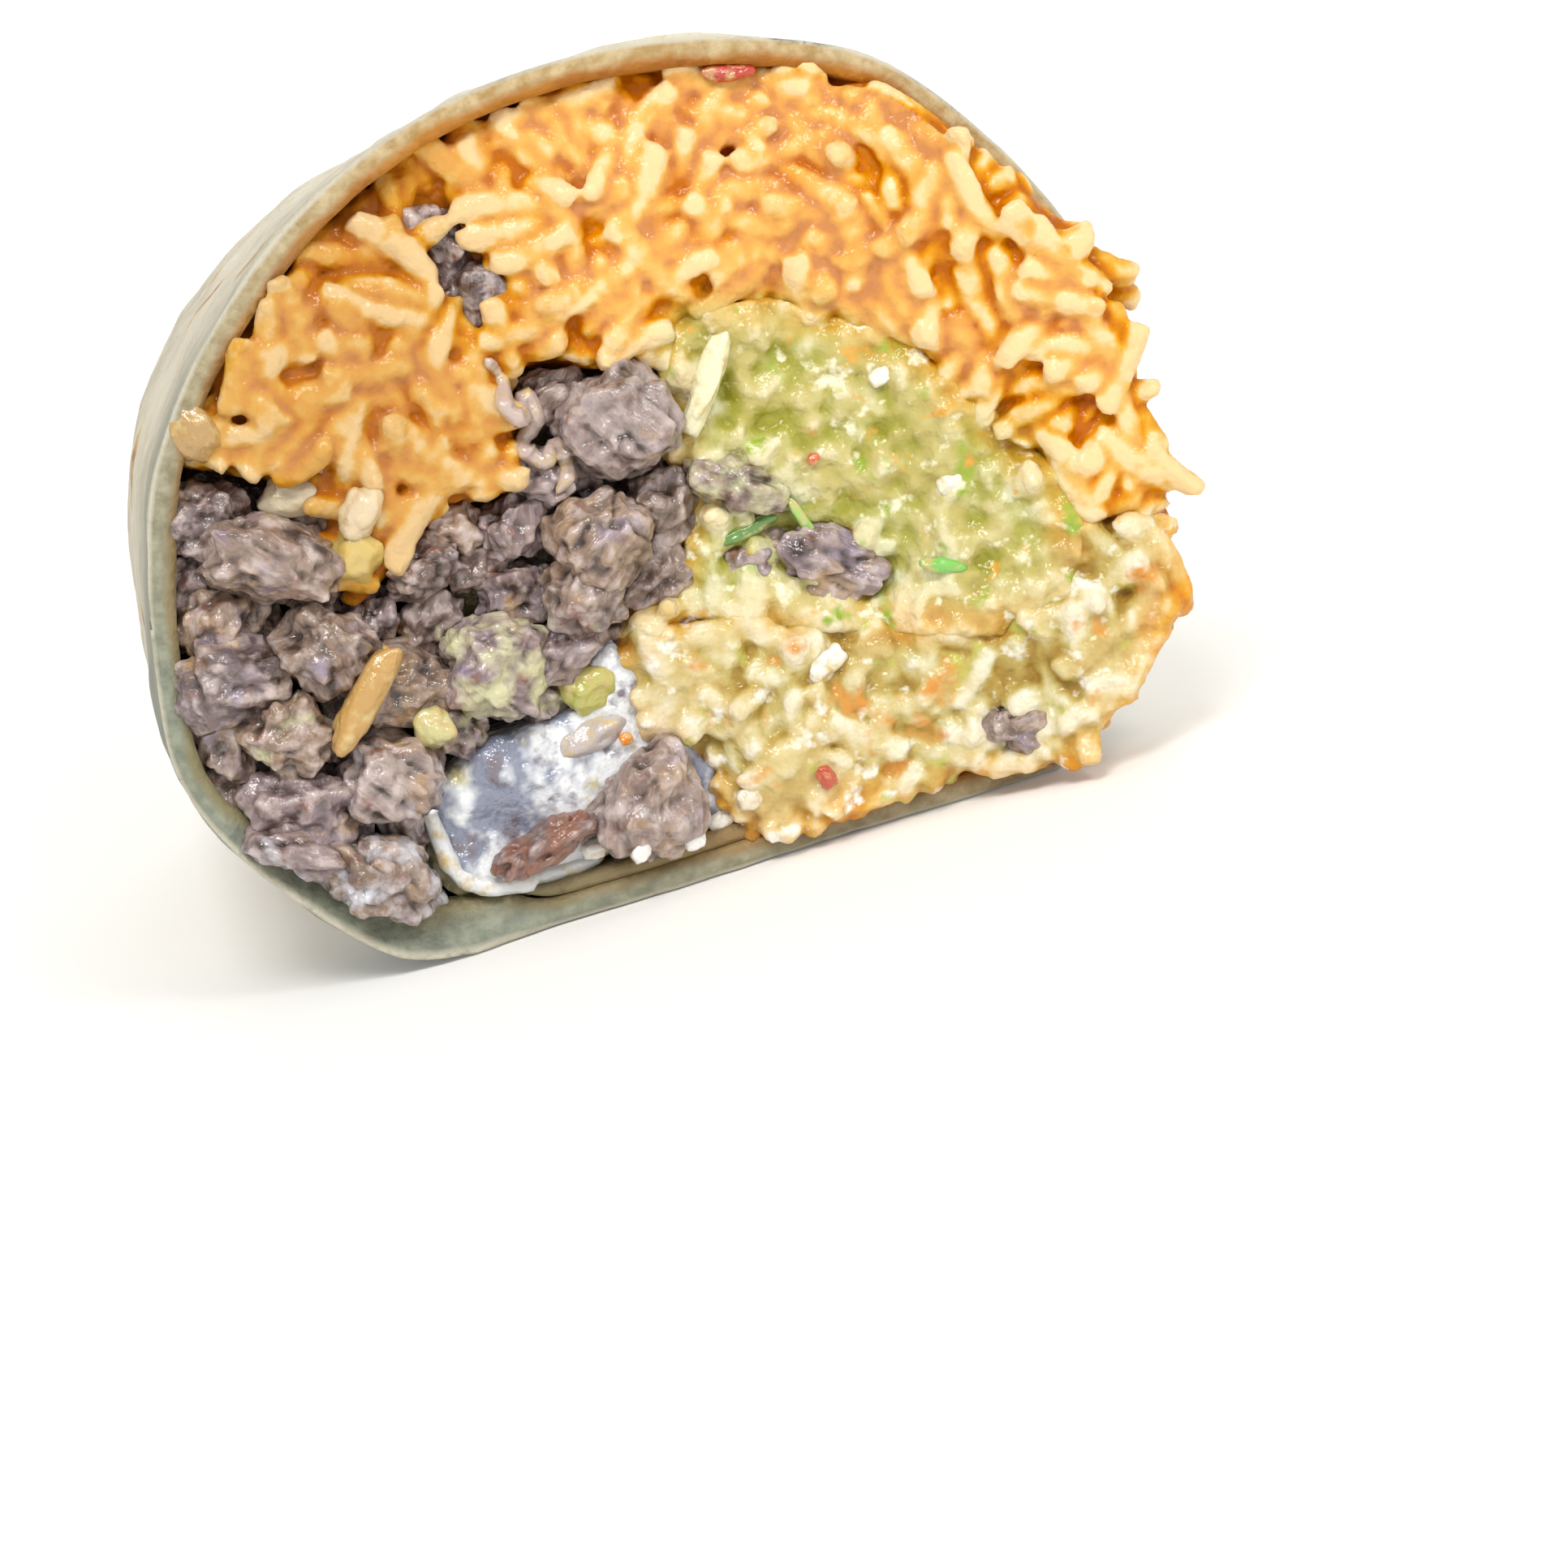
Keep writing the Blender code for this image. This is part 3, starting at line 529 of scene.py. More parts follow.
# What fills the roll. Rooms are the areas of the cut face that each filling takes, as outlines in mm; their shared
# borders are given once. Each filling runs back through the roll as one mass under the loose pieces of its front.
CLEAR = 0.3
RICE_TO_SIDE_STEAK = [(-35.0, 42.5), (-28.5, 41.0), (-25.5, 39.5), (-27.0, 31.5), (-24.0, 29.5)]
RICE_TO_MIDDLE_STEAK = [(-24.0, 29.5), (-17.0, 35.0), (-10.0, 35.0), (-9.0, 44.5), (-4.5, 43.5), (4.0, 41.0)]
RICE_TO_GUACAMOLE = [(4.0, 41.0), (6.0, 44.0), (12.5, 43.0), (21.0, 38.5), (26.0, 31.5), (30.5, 24.0), (31.0, 20.0)]
RICE_TO_DRESSED = [(31.0, 20.0), (38.5, 17.5)]
GUACAMOLE_TO_STEAK = [(4.0, 41.0), (2.5, 34.0), (4.0, 30.5), (1.5, 24.5), (-5.5, 21.0)]
GUACAMOLE_TO_DRESSED = [(-5.5, 21.0), (3.0, 20.0), (14.0, 16.5), (22.5, 14.0), (29.0, 15.5), (31.0, 20.0)]
DRESSED_TO_STEAK = [(-5.5, 21.0), (-6.0, 14.0)]
DRESSED_TO_CREAM = [(-6.0, 14.0), (-1.6, 8.5), (-1.2, 3.0)]
CREAM_TO_STEAK = [(-6.0, 14.0), (-12.0, 16.0), (-18.5, 16.0), (-24.0, 13.4)]
SIDE_TO_MIDDLE_STEAK = [(-24.0, 13.4), (-22.0, 19.5), (-20.5, 26.0), (-24.0, 29.5)]


def proud(x, z):
    """How far the filling stands in front of the rim at a place on the cut face."""
    spill = smoothstep(12, 36, x) * smoothstep(62, 46, z)
    sag = smoothstep(-4, 6, x) * smoothstep(40, 26, x) * smoothstep(22, 8, z)
    return -1.0 + 6.2 * spill - 2.2 * smoothstep(50, 64, z) + 2.0 * sag


def wall_between(start, end):
    """The part of the sheet's inner face between two points of it, from start to end."""
    wall = [(x, z) for x, z in inward(sheet_side, SHEET + CLEAR) if z > (2.7 if x < 0 else 3.6)][::3]
    first, last = (min(range(len(wall)), key=lambda i: math.dist(wall[i], p)) for p in (start, end))
    return wall[first:last + 1] if first <= last else wall[last:first + 1][::-1]


RICE_ROOM = [*wall_between(RICE_TO_SIDE_STEAK[0], RICE_TO_DRESSED[-1]), *RICE_TO_DRESSED[-2::-1],
             *RICE_TO_GUACAMOLE[-2::-1], *RICE_TO_MIDDLE_STEAK[-2::-1], *RICE_TO_SIDE_STEAK[-2:0:-1]]
DRESSED_ROOM = [*wall_between(RICE_TO_DRESSED[-1], (33.4, 4.6)), (28.0, 3.4), (10.0, 3.1), (0.4, 3.1), (-1.2, 5.0),
                *DRESSED_TO_CREAM[-2::-1], *DRESSED_TO_STEAK[-2::-1], *GUACAMOLE_TO_DRESSED[1:]]
GUACAMOLE_ROOM = [*RICE_TO_GUACAMOLE, *GUACAMOLE_TO_DRESSED[-2::-1], *GUACAMOLE_TO_STEAK[-2:0:-1]]
SIDE_STEAK_ROOM = [(-26.5, 13.0), (-26.0, 5.2), *wall_between((-27.5, 3.4), RICE_TO_SIDE_STEAK[0]),
                   *RICE_TO_SIDE_STEAK[1:], *SIDE_TO_MIDDLE_STEAK[-2:0:-1]]
MIDDLE_STEAK_ROOM = [*SIDE_TO_MIDDLE_STEAK, *RICE_TO_MIDDLE_STEAK[1:], *GUACAMOLE_TO_STEAK[1:],
                     *DRESSED_TO_STEAK[1:], *CREAM_TO_STEAK[1:-1]]
CREAM_ROOM = [(-0.6, 3.8), (-12.0, 3.6), (-20.6, 3.6), (-22.4, 4.6), (-23.5, 6.2), (-24.1, 8.8), (-24.2, 13.0),
              (-18.5, 16.0), (-12.0, 16.0), (-9.4, 16.6), (-9.0, 19.6), (-6.4, 20.8), (-4.2, 16.8), (-2.6, 12.0),
              (-0.6, 8.5)]


def widened(room, reach):
    """The room's outline moved outwards, so that neighbouring fillings press into each other."""
    turns = sum(a[0] * b[1] - b[0] * a[1] for a, b in zip(room, [*room[1:], room[0]]))
    run = [*room[-1:], *room, *room[:1]]
    return inward(run, reach if turns > 0 else -reach)[1:-1]


# A record of how high the filling stands over the cut face, in 0.3 mm squares. Pieces are laid on it one after
# another, as they settle in a real roll, and each raises it where it lies.
HEAP_STEP = 0.3
heap_x = np.arange(-46.0, 48.0, HEAP_STEP)
heap_z = np.arange(-2.0, 70.0, HEAP_STEP)
grid_x, grid_z = np.meshgrid(heap_x, heap_z)


def over_face(pattern):
    """The values of a pattern of x and z on every square of the face."""
    return np.vectorize(pattern)(grid_x, grid_z)


goal = over_face(proud)
heap = np.full(grid_x.shape, -9.0)
in_room = {}
for key, room, depth in (("rice", RICE_ROOM, 3.0), ("dressed", DRESSED_ROOM, 2.4), ("guacamole", GUACAMOLE_ROOM, 2.2),
                         ("side_steak", SIDE_STEAK_ROOM, 5.5), ("middle_steak", MIDDLE_STEAK_ROOM, 4.2),
                         ("cream", CREAM_ROOM, 1.5)):
    in_room[key] = in_outline(grid_x, grid_z, room)
    heap[in_room[key]] = (goal - depth)[in_room[key]]


def bumpy(x, z, size, seed):
    return noise.noise((x / size, z / size, seed))


def heap_rows(z):
    return np.clip(((z - heap_z[0]) / HEAP_STEP + 0.5).astype(int), 0, len(heap_z) - 1)


def heap_columns(x):
    return np.clip(((x - heap_x[0]) / HEAP_STEP + 0.5).astype(int), 0, len(heap_x) - 1)


def raise_heap(verts):
    """Raises the record to the points of a mesh that has been laid, in mm."""
    at = np.asarray(verts, float)
    np.maximum.at(heap, (heap_rows(at[:, 2]), heap_columns(at[:, 0])), CUT_Y - at[:, 1])


def points_of(mesh):
    at = np.empty(len(mesh.vertices) * 3)
    mesh.vertices.foreach_get("co", at)
    return at.reshape(-1, 3) * 1000


def softened(field, within, reach):
    """A field evened out over a distance in mm, from its values inside an area only."""
    count = int(2.5 * reach / HEAP_STEP)
    weights = [math.exp(-0.5 * (k * HEAP_STEP / reach) ** 2) for k in range(-count, count + 1)]

    def spread(grid):
        for axis in (0, 1):
            grid = sum(w * np.roll(grid, k - count, axis) for k, w in enumerate(weights))
        return grid
    return spread(np.where(within, field, 0.0)) / np.maximum(spread(within.astype(float)), 1e-4)


def sampled(grid, x, z):
    """The grid's values at places between its squares."""
    u = np.clip((np.asarray(x) - heap_x[0]) / HEAP_STEP, 0, len(heap_x) - 1.001)
    v = np.clip((np.asarray(z) - heap_z[0]) / HEAP_STEP, 0, len(heap_z) - 1.001)
    i, j = u.astype(int), v.astype(int)
    s, t = u - i, v - j
    return (grid[j, i] * (1 - s) * (1 - t) + grid[j, i + 1] * s * (1 - t) + grid[j + 1, i] * (1 - s) * t
            + grid[j + 1, i + 1] * s * t)


def filled_back(name, room, front, step, seed, depths=(9, 32, TUCK_START, 76, 84), round_off=1.5):
    """A filling as a closed mass: an uneven front over its room, and sides that run back through the roll."""
    rim = subdivided([p for i, p in enumerate(room) if math.dist(p, room[i - 1]) > 0.3], step)
    points, faces, rims = evenly_filled([rim], step, seed)
    inside = from_outline(*np.array(points).T, rim)
    verts = [(p.x, CUT_Y - front(p.x, p.y) + round_off * (1 - math.sqrt(1 - max(0.0, 1 - near / round_off) ** 2)), p.y)
             for p, near in zip(points, inside)]
    faces = list(faces)
    carry_back(verts, faces, rims, depths, 84.001, False)
    verts[-1] = (verts[-1][0], CUT_Y + depths[-1] + 0.001, verts[-1][2])
    return plain_mesh(name, verts, faces)


# How green with avocado, and how pale with cream, the filling is over the cut face. The borders wander and fade, as
# the fillings were spread into each other.
wander = 1.6 * over_face(lambda x, z: bumpy(x, z, 5.0, 4.4) + 0.6 * bumpy(x, z, 2.0, 8.1))


def faded(room, reach):
    """1 inside a room, 0 outside, fading over a reach on both sides of its border."""
    away = from_outline(grid_x, grid_z, subdivided(room, 1.5)) * np.where(in_outline(grid_x, grid_z, room), 1, -1)
    share = np.clip((away + wander + reach) / (2 * reach), 0, 1)
    return share * share * (3 - 2 * share)


green_over = faded(GUACAMOLE_ROOM, 3.2)
dressing_over = faded(DRESSED_ROOM, 2.4)


def marked(mesh, rise_over, crest, **marks):
    """Keeps on a mesh's points how much each stands out of its neighbours and how deep it lies, which the colours use
    for painted highlight on crests and painted shade in creases and deep gaps, and how green and how dressed it is.
    """
    at = points_of(mesh)
    x, z, height = at[:, 0], at[:, 2], CUT_Y - at[:, 1]
    marks["deep"] = np.clip((np.minimum(sampled(goal, x, z), 0.6) - height - 2.5) / 2.2, 0, 1)
    marks["rise"] = np.clip(0.5 + np.maximum(height - sampled(rise_over, x, z), -1.4) / 3.4 + crest, 0, 1)
    marks["green"], marks["dressing"] = sampled(green_over, x, z), sampled(dressing_over, x, z)
    for label, values in marks.items():
        keep_on(mesh, label, values)
    return mesh


# orange, green with avocado and creamy with dressing, each from its creases to its crests; the darker creases are
# painted shade and the paler crests painted highlight
RICE_TONES = [
    ((0.0, (182, 98, 0)), (0.28, (206, 127, 0)), (0.5, (213, 146, 14)), (0.72, (222, 168, 64)), (1.0, (233, 202, 148))),
    ((0.0, (146, 142, 46)), (0.28, (160, 156, 62)), (0.5, (171, 166, 84)), (0.72, (184, 180, 112)),
     (1.0, (212, 210, 170))),
    ((0.0, (158, 126, 52)), (0.28, (178, 154, 80)), (0.5, (192, 175, 110)), (0.72, (206, 196, 148)),
     (1.0, (228, 224, 202))),
]


def rice_colours(tree, where, tint):
    """Orange in the creases, peach and cream where it stands out; green or creamy where it is coated. The paler crests
    are painted highlight; the darker creases, the dark brown deep gaps and the darker left are painted shade.
    """
    rise, green, dressing, cut, deep = (add_node(tree, "ShaderNodeAttribute", {"attribute_name": label}).outputs["Fac"]
                                        for label in ("rise", "green", "dressing", "cut", "deep"))
    height = worked_out(tree, "ADD", rise, worked_out(tree, "MULTIPLY", worked_out(tree, "SUBTRACT", tint, 0.5), 0.8))
    height = worked_out(tree, "ADD", height, worked_out(tree, "MULTIPLY", worked_out(
        tree, "SUBTRACT", patches(tree, where, 1.3, 0.25, 0.75, shift=9), 0.5), 0.35))
    shades = [shaded(tree, height, tones) for tones in RICE_TONES]
    colour = between(tree, dressing, between(tree, green, shades[0], shades[1]), shades[2])
    colour = between(tree, worked_out(tree, "MULTIPLY", cut, 0.2), colour, (244, 212, 164))
    # The rice turns darker and browner towards the left: painted shade.
    left = add_node(tree, "ShaderNodeMapRange", {"interpolation_type": "SMOOTHSTEP"}, From_Min=0.004, From_Max=-0.02,
                    Value=add_node(tree, "ShaderNodeSeparateXYZ", Vector=where).outputs["X"]).outputs[0]
    colour = between(tree, worked_out(tree, "MULTIPLY", left, 0.32), colour, (140, 100, 48))
    # Points that lie deep below the face turn dark brown: painted shade in the gaps.
    return between(tree, worked_out(tree, "MULTIPLY", deep, 0.7), colour, (92, 46, 8))


def wet_finish(name, roughness, grain_mm, depth_mm, **more):
    finish, tree, shader, where = new_finish(
        name, roughness, Subsurface_Weight=0.15, Subsurface_Radius=(1.0, 0.7, 0.35), Subsurface_Scale=0.0009,
        Coat_Weight=more.get("coat", 0.6), Coat_Roughness=0.05, Specular_IOR_Level=0.02)
    tint = add_node(tree, "ShaderNodeAttribute", {"attribute_name": "tint"}).outputs["Fac"]
    colour = rice_colours(tree, where, tint)
    for size, low, high, shift, tone in more.get("flecks", ()):
        colour = between(tree, patches(tree, where, size, low, high, shift=shift), colour, tone)
    tree.links.new(colour, shader.inputs["Base Color"])
    raised(tree, shader, patches(tree, where, grain_mm, 0.2, 0.8, detail=2.5, roughness=0.45), depth_mm)
    return finish


# Soured cream: smooth and wet, smeared round the meat at the bottom and against the tortilla's inner end.
def cream_front(x, z):
    swell = 0.9 * bumpy(x, z, 6.5, 5.0) + 0.4 * bumpy(x + 0.4 * z, z, 2.4, 6.0) + 0.12 * bumpy(x, z, 1.0, 4.0)
    return proud(x, z) - 0.1 + swell + 0.8 * smoothstep(14, 17, z)


def cream_finish():
    finish, tree, shader, where = new_finish(
        "soured_cream", 0.16, Subsurface_Weight=0.3, Subsurface_Radius=(1.0, 0.95, 0.9), Subsurface_Scale=0.002,
        Coat_Weight=0.6, Coat_Roughness=0.05, Specular_IOR_Level=0.6)
    # In soft patches the white cream is painted bluish grey: painted shade.
    colour = between(tree, patches(tree, where, 4.5, 0.42, 0.54), (138, 144, 164), (240, 243, 246))
    colour = between(tree, patches(tree, where, 2.2, 0.54, 0.66, shift=3), colour, (126, 118, 128))
    colour = between(tree, patches(tree, where, 3.4, 0.6, 0.72, shift=6), colour, (206, 196, 150))
    tree.links.new(colour, shader.inputs["Base Color"])
    raised(tree, shader, patches(tree, where, 1.6, 0.2, 0.8, detail=3), 0.35)
    return finish


cream_mass = laid_in_frame("soured_cream_mass", filled_back(
    "soured_cream_mass", CREAM_ROOM, cream_front, 0.45, 10), cream_finish(), "soured_cream")
raise_heap(points_of(cream_mass.data))

# Grilled steak: torn and chopped lumps of beef, grey-brown and fibrous, shiny with juice. x, z, length, width, turn
# in degrees, how far it stands out of the heap, and how much pale dressing coats it.
SIDE_STEAK = [
    (-35.1, 38.9, 6.4, 7.0, 75, 0.0, 0.1), (-31.0, 35.0, 6.6, 11.6, 65, 0.8, 0.15),
    (-37.4, 34.6, 4.4, 5.0, 0, -0.6, 0.0), (-36.1, 31.3, 7.4, 6.2, 10, 0.0, 0.0),
    (-36.4, 26.4, 7.4, 9.2, 75, 0.4, 0.05), (-28.9, 26.9, 7.2, 8.0, 45, 0.9, 0.1),
    (-32.8, 28.2, 4.8, 5.0, 0, -0.4, 0.1), (-24.3, 28.0, 4.6, 4.8, 0, -0.5, 0.3),
    (-24.2, 22.3, 5.6, 11.0, 70, 0.8, 0.15), (-33.3, 21.3, 6.6, 7.2, 30, 0.8, 0.55),
    (-38.2, 21.5, 7.0, 6.2, 80, 0.0, 0.0), (-38.0, 17.6, 5.4, 5.6, 0, -0.4, 0.0),
    (-34.0, 15.6, 9.8, 6.2, -20, 0.6, 0.1), (-29.4, 18.4, 5.0, 4.8, 0, -0.2, 0.1),
    (-28.6, 22.6, 5.0, 5.4, 0, -0.6, 0.2), (-25.9, 42.4, 5.0, 7.6, 65, -0.6, 0.2),
    (-28.2, 31.6, 5.6, 5.2, 0, -0.4, 0.3), (-31.4, 12.0, 5.0, 4.6, 30, -0.8, 0.1),
    (-26.8, 36.0, 4.6, 5.4, 0, -1.0, 0.1),
]
MIDDLE_STEAK = [
    (-1.3, 37.7, 9.8, 8.4, 5, 1.2, 0.12), (0.4, 30.0, 6.2, 6.4, 0, 0.6, 0.2), (-5.2, 28.9, 8.0, 7.6, 20, 0.9, 0.3),
    (-7.6, 24.9, 6.4, 6.0, 0, 0.8, 0.45), (-1.6, 24.6, 7.4, 5.2, 15, 0.2, 0.15),
    (-8.4, 35.0, 5.0, 5.8, 60, 0.3, 0.35), (-11.3, 31.6, 6.2, 5.2, 10, 0.2, 0.05),
    (-16.4, 32.6, 5.0, 5.0, 0, -0.3, 0.1), (-15.2, 29.6, 5.6, 4.6, 0, -0.3, 0.15),
    (-12.4, 26.6, 7.0, 5.0, -10, 0.2, 0.2), (-19.4, 30.6, 6.4, 3.8, 10, 0.1, 0.1),
    (-19.6, 26.0, 5.6, 5.0, 40, -0.4, 0.5), (-16.4, 21.9, 7.8, 8.4, 75, 0.8, 0.75),
    (-10.8, 21.2, 7.4, 4.6, 10, 0.4, 0.4), (-7.6, 21.0, 5.4, 4.4, 0, 0.0, 0.5),
    (-12.6, 17.6, 5.0, 4.2, 20, -0.2, 0.6), (-20.2, 17.6, 5.4, 5.0, 60, -0.2, 0.6),
    (-5.2, 33.4, 4.4, 4.6, 0, -0.2, 0.1), (-5.6, 40.6, 4.4, 5.4, 80, 0.0, 0.2), (-11.6, 36.6, 4.4, 4.0, 0, -0.8, 0.1),
    (1.0, 34.0, 4.2, 3.6, 0, 0.2, 0.3),
]
# These lumps are coated heavily in bluish white, partly for the cream they lie in and partly as painted highlight.
LOW_STEAK = [
    (-34.0, 11.7, 10.6, 4.0, -28, 1.0, 0.55), (-26.6, 15.6, 6.8, 8.6, 75, 0.5, 0.5),
    (-29.4, 8.2, 6.6, 9.0, 65, 1.6, 0.62), (-26.6, 5.4, 3.6, 4.4, 20, 0.2, 0.7), (-26.2, 11.0, 4.0, 5.0, 0, 0.0, 0.6),
]
DEEP_STEAK = [(-11.2, 55.2, 5.4, 7.4, 45, -0.5, 0.0), (-9.0, 50.6, 7.6, 5.4, 10, -0.3, 0.0)]
GUACAMOLE_STEAK = [(12.6, 21.9, 9.0, 6.2, -30, 1.0, 0.15), (6.6, 24.0, 5.4, 4.4, -10, 0.3, 0.35),
                   (7.0, 29.8, 9.6, 4.8, -30, 0.7, 0.7), (0.4, 20.6, 3.4, 3.0, 0, 0.6, 0.2)]
CREAM_STEAK = [(-7.2, 7.6, 9.6, 7.8, 25, 0.9, 0.4)]
CREAM_SLIVER = [(-16.0, 6.9, 9.2, 3.2, 12, 0.9, 0.8)]
DRESSED_STEAK = [(23.5, 4.9, 7.0, 4.0, -25, 1.0, 0.3)]


def torn_lump(base, x, z, length, width, turn, lift, seed):
    """The points of one torn lump of steak, in mm, laid on the heap."""
    draw = random.Random(seed)
    depth = 0.5 * (length + width) * draw.uniform(0.8, 1.05)
    shift = Vector((draw.uniform(-50, 50), draw.uniform(-50, 50), draw.uniform(-50, 50)))
    grain = Vector((draw.uniform(-1, 1), draw.uniform(-0.5, 0.5), draw.uniform(-1, 1))).normalized()
    sway = Euler((draw.uniform(-0.3, 0.3), 0, draw.uniform(-0.3, 0.3))).to_matrix()
    spin = Matrix.Rotation(-math.radians(turn), 3, "Y") @ sway
    found, reliefs, fibres = [], [], []
    for unit in base:
        block = Vector(math.copysign(abs(c) ** 0.8, c) for c in unit)
        rough = (0.97 + 0.28 * noise.noise(unit * 1.2 + shift) + 0.17 * noise.noise(unit * 2.4 + shift)
                 + 0.06 * noise.noise(unit * 4.5 - shift))
        at = Vector((block.x * length, block.y * depth, block.z * width)) * 0.5 * rough
        along = at.dot(grain)
        strands = (at - grain * along) * 1.5 + grain * along * 0.2
        split = (1 - abs(noise.noise(strands * 0.3 + shift))) ** 10
        relief = (0.1 * noise.noise(strands + shift) + 0.05 * noise.noise(strands * 2.4 - shift)
                  + 0.3 * noise.noise(at * 0.7 + shift) + 0.22 * noise.noise(at * 1.5 + shift) - 0.35 * split)
        reliefs.append(relief)
        fibres += [*((strands + shift) * 0.001)]
        found.append(spin @ (at + unit * relief))
    found = np.array(found)
    rest = np.quantile(heap[heap_rows(found[:, 2] + z), heap_columns(found[:, 0] + x)], 0.6)
    level = max(rest, proud(x, z) - 3.0) + lift
    return found + np.array((x, CUT_Y - level - 0.12 * depth, z)), reliefs, fibres


def steak_pieces(name, lumps, seed):
    """Lumps of steak in one mesh, each laid in its place, with how coated each one is kept as an attribute."""
    ball = bmesh.new()
    bmesh.ops.create_icosphere(ball, subdivisions=5, radius=1.0)
    base = [v.co.copy() for v in ball.verts]
    facets = [tuple(v.index for v in f.verts) for f in ball.faces]
    ball.free()
    verts, faces, coats, tones, hollows, fibres = [], [], [], [], [], []
    for k, (x, z, length, width, turn, lift, coat) in enumerate(sorted(lumps, key=lambda lump: lump[5])):
        start = len(verts)
        laid, reliefs, along = torn_lump(base, x, z, length, width, turn, lift, seed + k)
        hollows += reliefs
        fibres += along
        raise_heap(laid)
        verts += laid.tolist()
        faces += [tuple(start + i for i in facet) for facet in facets]
        coats += [coat] * len(base)
        tones += [random.Random(seed * 7 + k).random()] * len(base)
    mesh = plain_mesh(name, verts, faces)
    for label, values in (("coat", coats), ("tone", tones), ("relief", hollows)):
        keep_on(mesh, label, values)
    keep_on(mesh, "fibre", fibres, "FLOAT_VECTOR")
    return mesh


# how the lumps differ from each other: grey, beige, mauve and pale
STEAK_TONES = [(0.0, (92, 76, 74)), (0.2, (150, 124, 98)), (0.4, (108, 94, 98)), (0.6, (168, 142, 118)),
               (0.8, (132, 116, 124)), (1.0, (180, 164, 154))]


def steak_finish(name, coating):
    finish, tree, shader, where = new_finish(
        name, 0.45, Subsurface_Weight=0.12, Subsurface_Radius=(1.0, 0.6, 0.5), Subsurface_Scale=0.0008,
        Coat_Weight=1.0, Coat_Roughness=0.11, Specular_IOR_Level=0.3)
    tone, coat, relief = (add_node(tree, "ShaderNodeAttribute", {"attribute_name": label}).outputs["Fac"]
                          for label in ("tone", "coat", "relief"))
    meat = shaded(tree, tone, STEAK_TONES)
    meat = between(tree, patches(tree, where, 3.2, 0.46, 0.66, most=0.6), meat,
                   (116, 94, 86))
    meat = between(tree, patches(tree, where, 4.2, 0.56, 0.7, shift=5), meat, (176, 144, 108))
    meat = between(tree, patches(tree, where, 3.6, 0.58, 0.7, shift=21), meat, (150, 136, 152))
    fibre = add_node(tree, "ShaderNodeAttribute", {"attribute_name": "fibre"}).outputs["Vector"]
    pale_fibre, dark_fibre = (patches(tree, fibre, size, low, high, shift=shift)
                              for size, low, high, shift in ((1.1, 0.5, 0.68, 0.0), (0.8, 0.52, 0.7, 4.0)))
    meat = between(tree, worked_out(tree, "MULTIPLY", pale_fibre, 0.4), meat, (204, 184, 176))
    meat = between(tree, patches(tree, where, 2.4, 0.58, 0.7, shift=12), meat, (128, 90, 76))
    meat = between(tree, patches(tree, where, 1.6, 0.52, 0.66, shift=3, most=0.6), meat,
                   (204, 188, 184))
    meat = between(tree, worked_out(tree, "MULTIPLY", dark_fibre, 0.3), meat, (98, 78, 72))
    # Raised parts of each lump are painted pale, as painted highlight; its hollows turn near black, as painted shade.
    top = add_node(tree, "ShaderNodeMapRange", Value=relief, From_Min=0.02, From_Max=0.36).outputs[0]
    meat = between(tree, worked_out(tree, "MULTIPLY", top, 0.8), meat, (214, 199, 194))
    deep = add_node(tree, "ShaderNodeMapRange", Value=relief, From_Min=-0.06, From_Max=-0.4).outputs[0]
    meat = between(tree, deep, meat, (60, 42, 36))
    reach = worked_out(tree, "SUBTRACT", 0.88, worked_out(tree, "MULTIPLY", coat, 0.62))
    smear = add_node(tree, "ShaderNodeTexNoise", Vector=where, Scale=420.0, Detail=3.0)
    over = add_node(tree, "ShaderNodeMapRange", Value=smear.outputs["Fac"], From_Min=reach,
                    From_Max=worked_out(tree, "ADD", reach, 0.2)).outputs[0]
    colour = between(tree, over, meat, coating)
    tree.links.new(colour, shader.inputs["Base Color"])
    raised(tree, shader, worked_out(tree, "ADD", patches(tree, where, 0.9, 0.2, 0.8, detail=2.5, roughness=0.5),
                                    worked_out(tree, "MULTIPLY", pale_fibre, 0.3)), 0.17)
    return finish


def juice_and_shade_finish(name, dark, light):
    """Juice and mashed filling deep between the lumps, coloured dark as painted shade in the gaps between them."""
    finish, tree, shader, where = new_finish(name, 0.35, Coat_Weight=0.3, Coat_Roughness=0.15)
    colour = between(tree, patches(tree, where, 3.0, 0.35, 0.65), dark, light)
    tree.links.new(colour, shader.inputs["Base Color"])
    raised(tree, shader, patches(tree, where, 1.2, 0.2, 0.8), 0.5)
    return finish


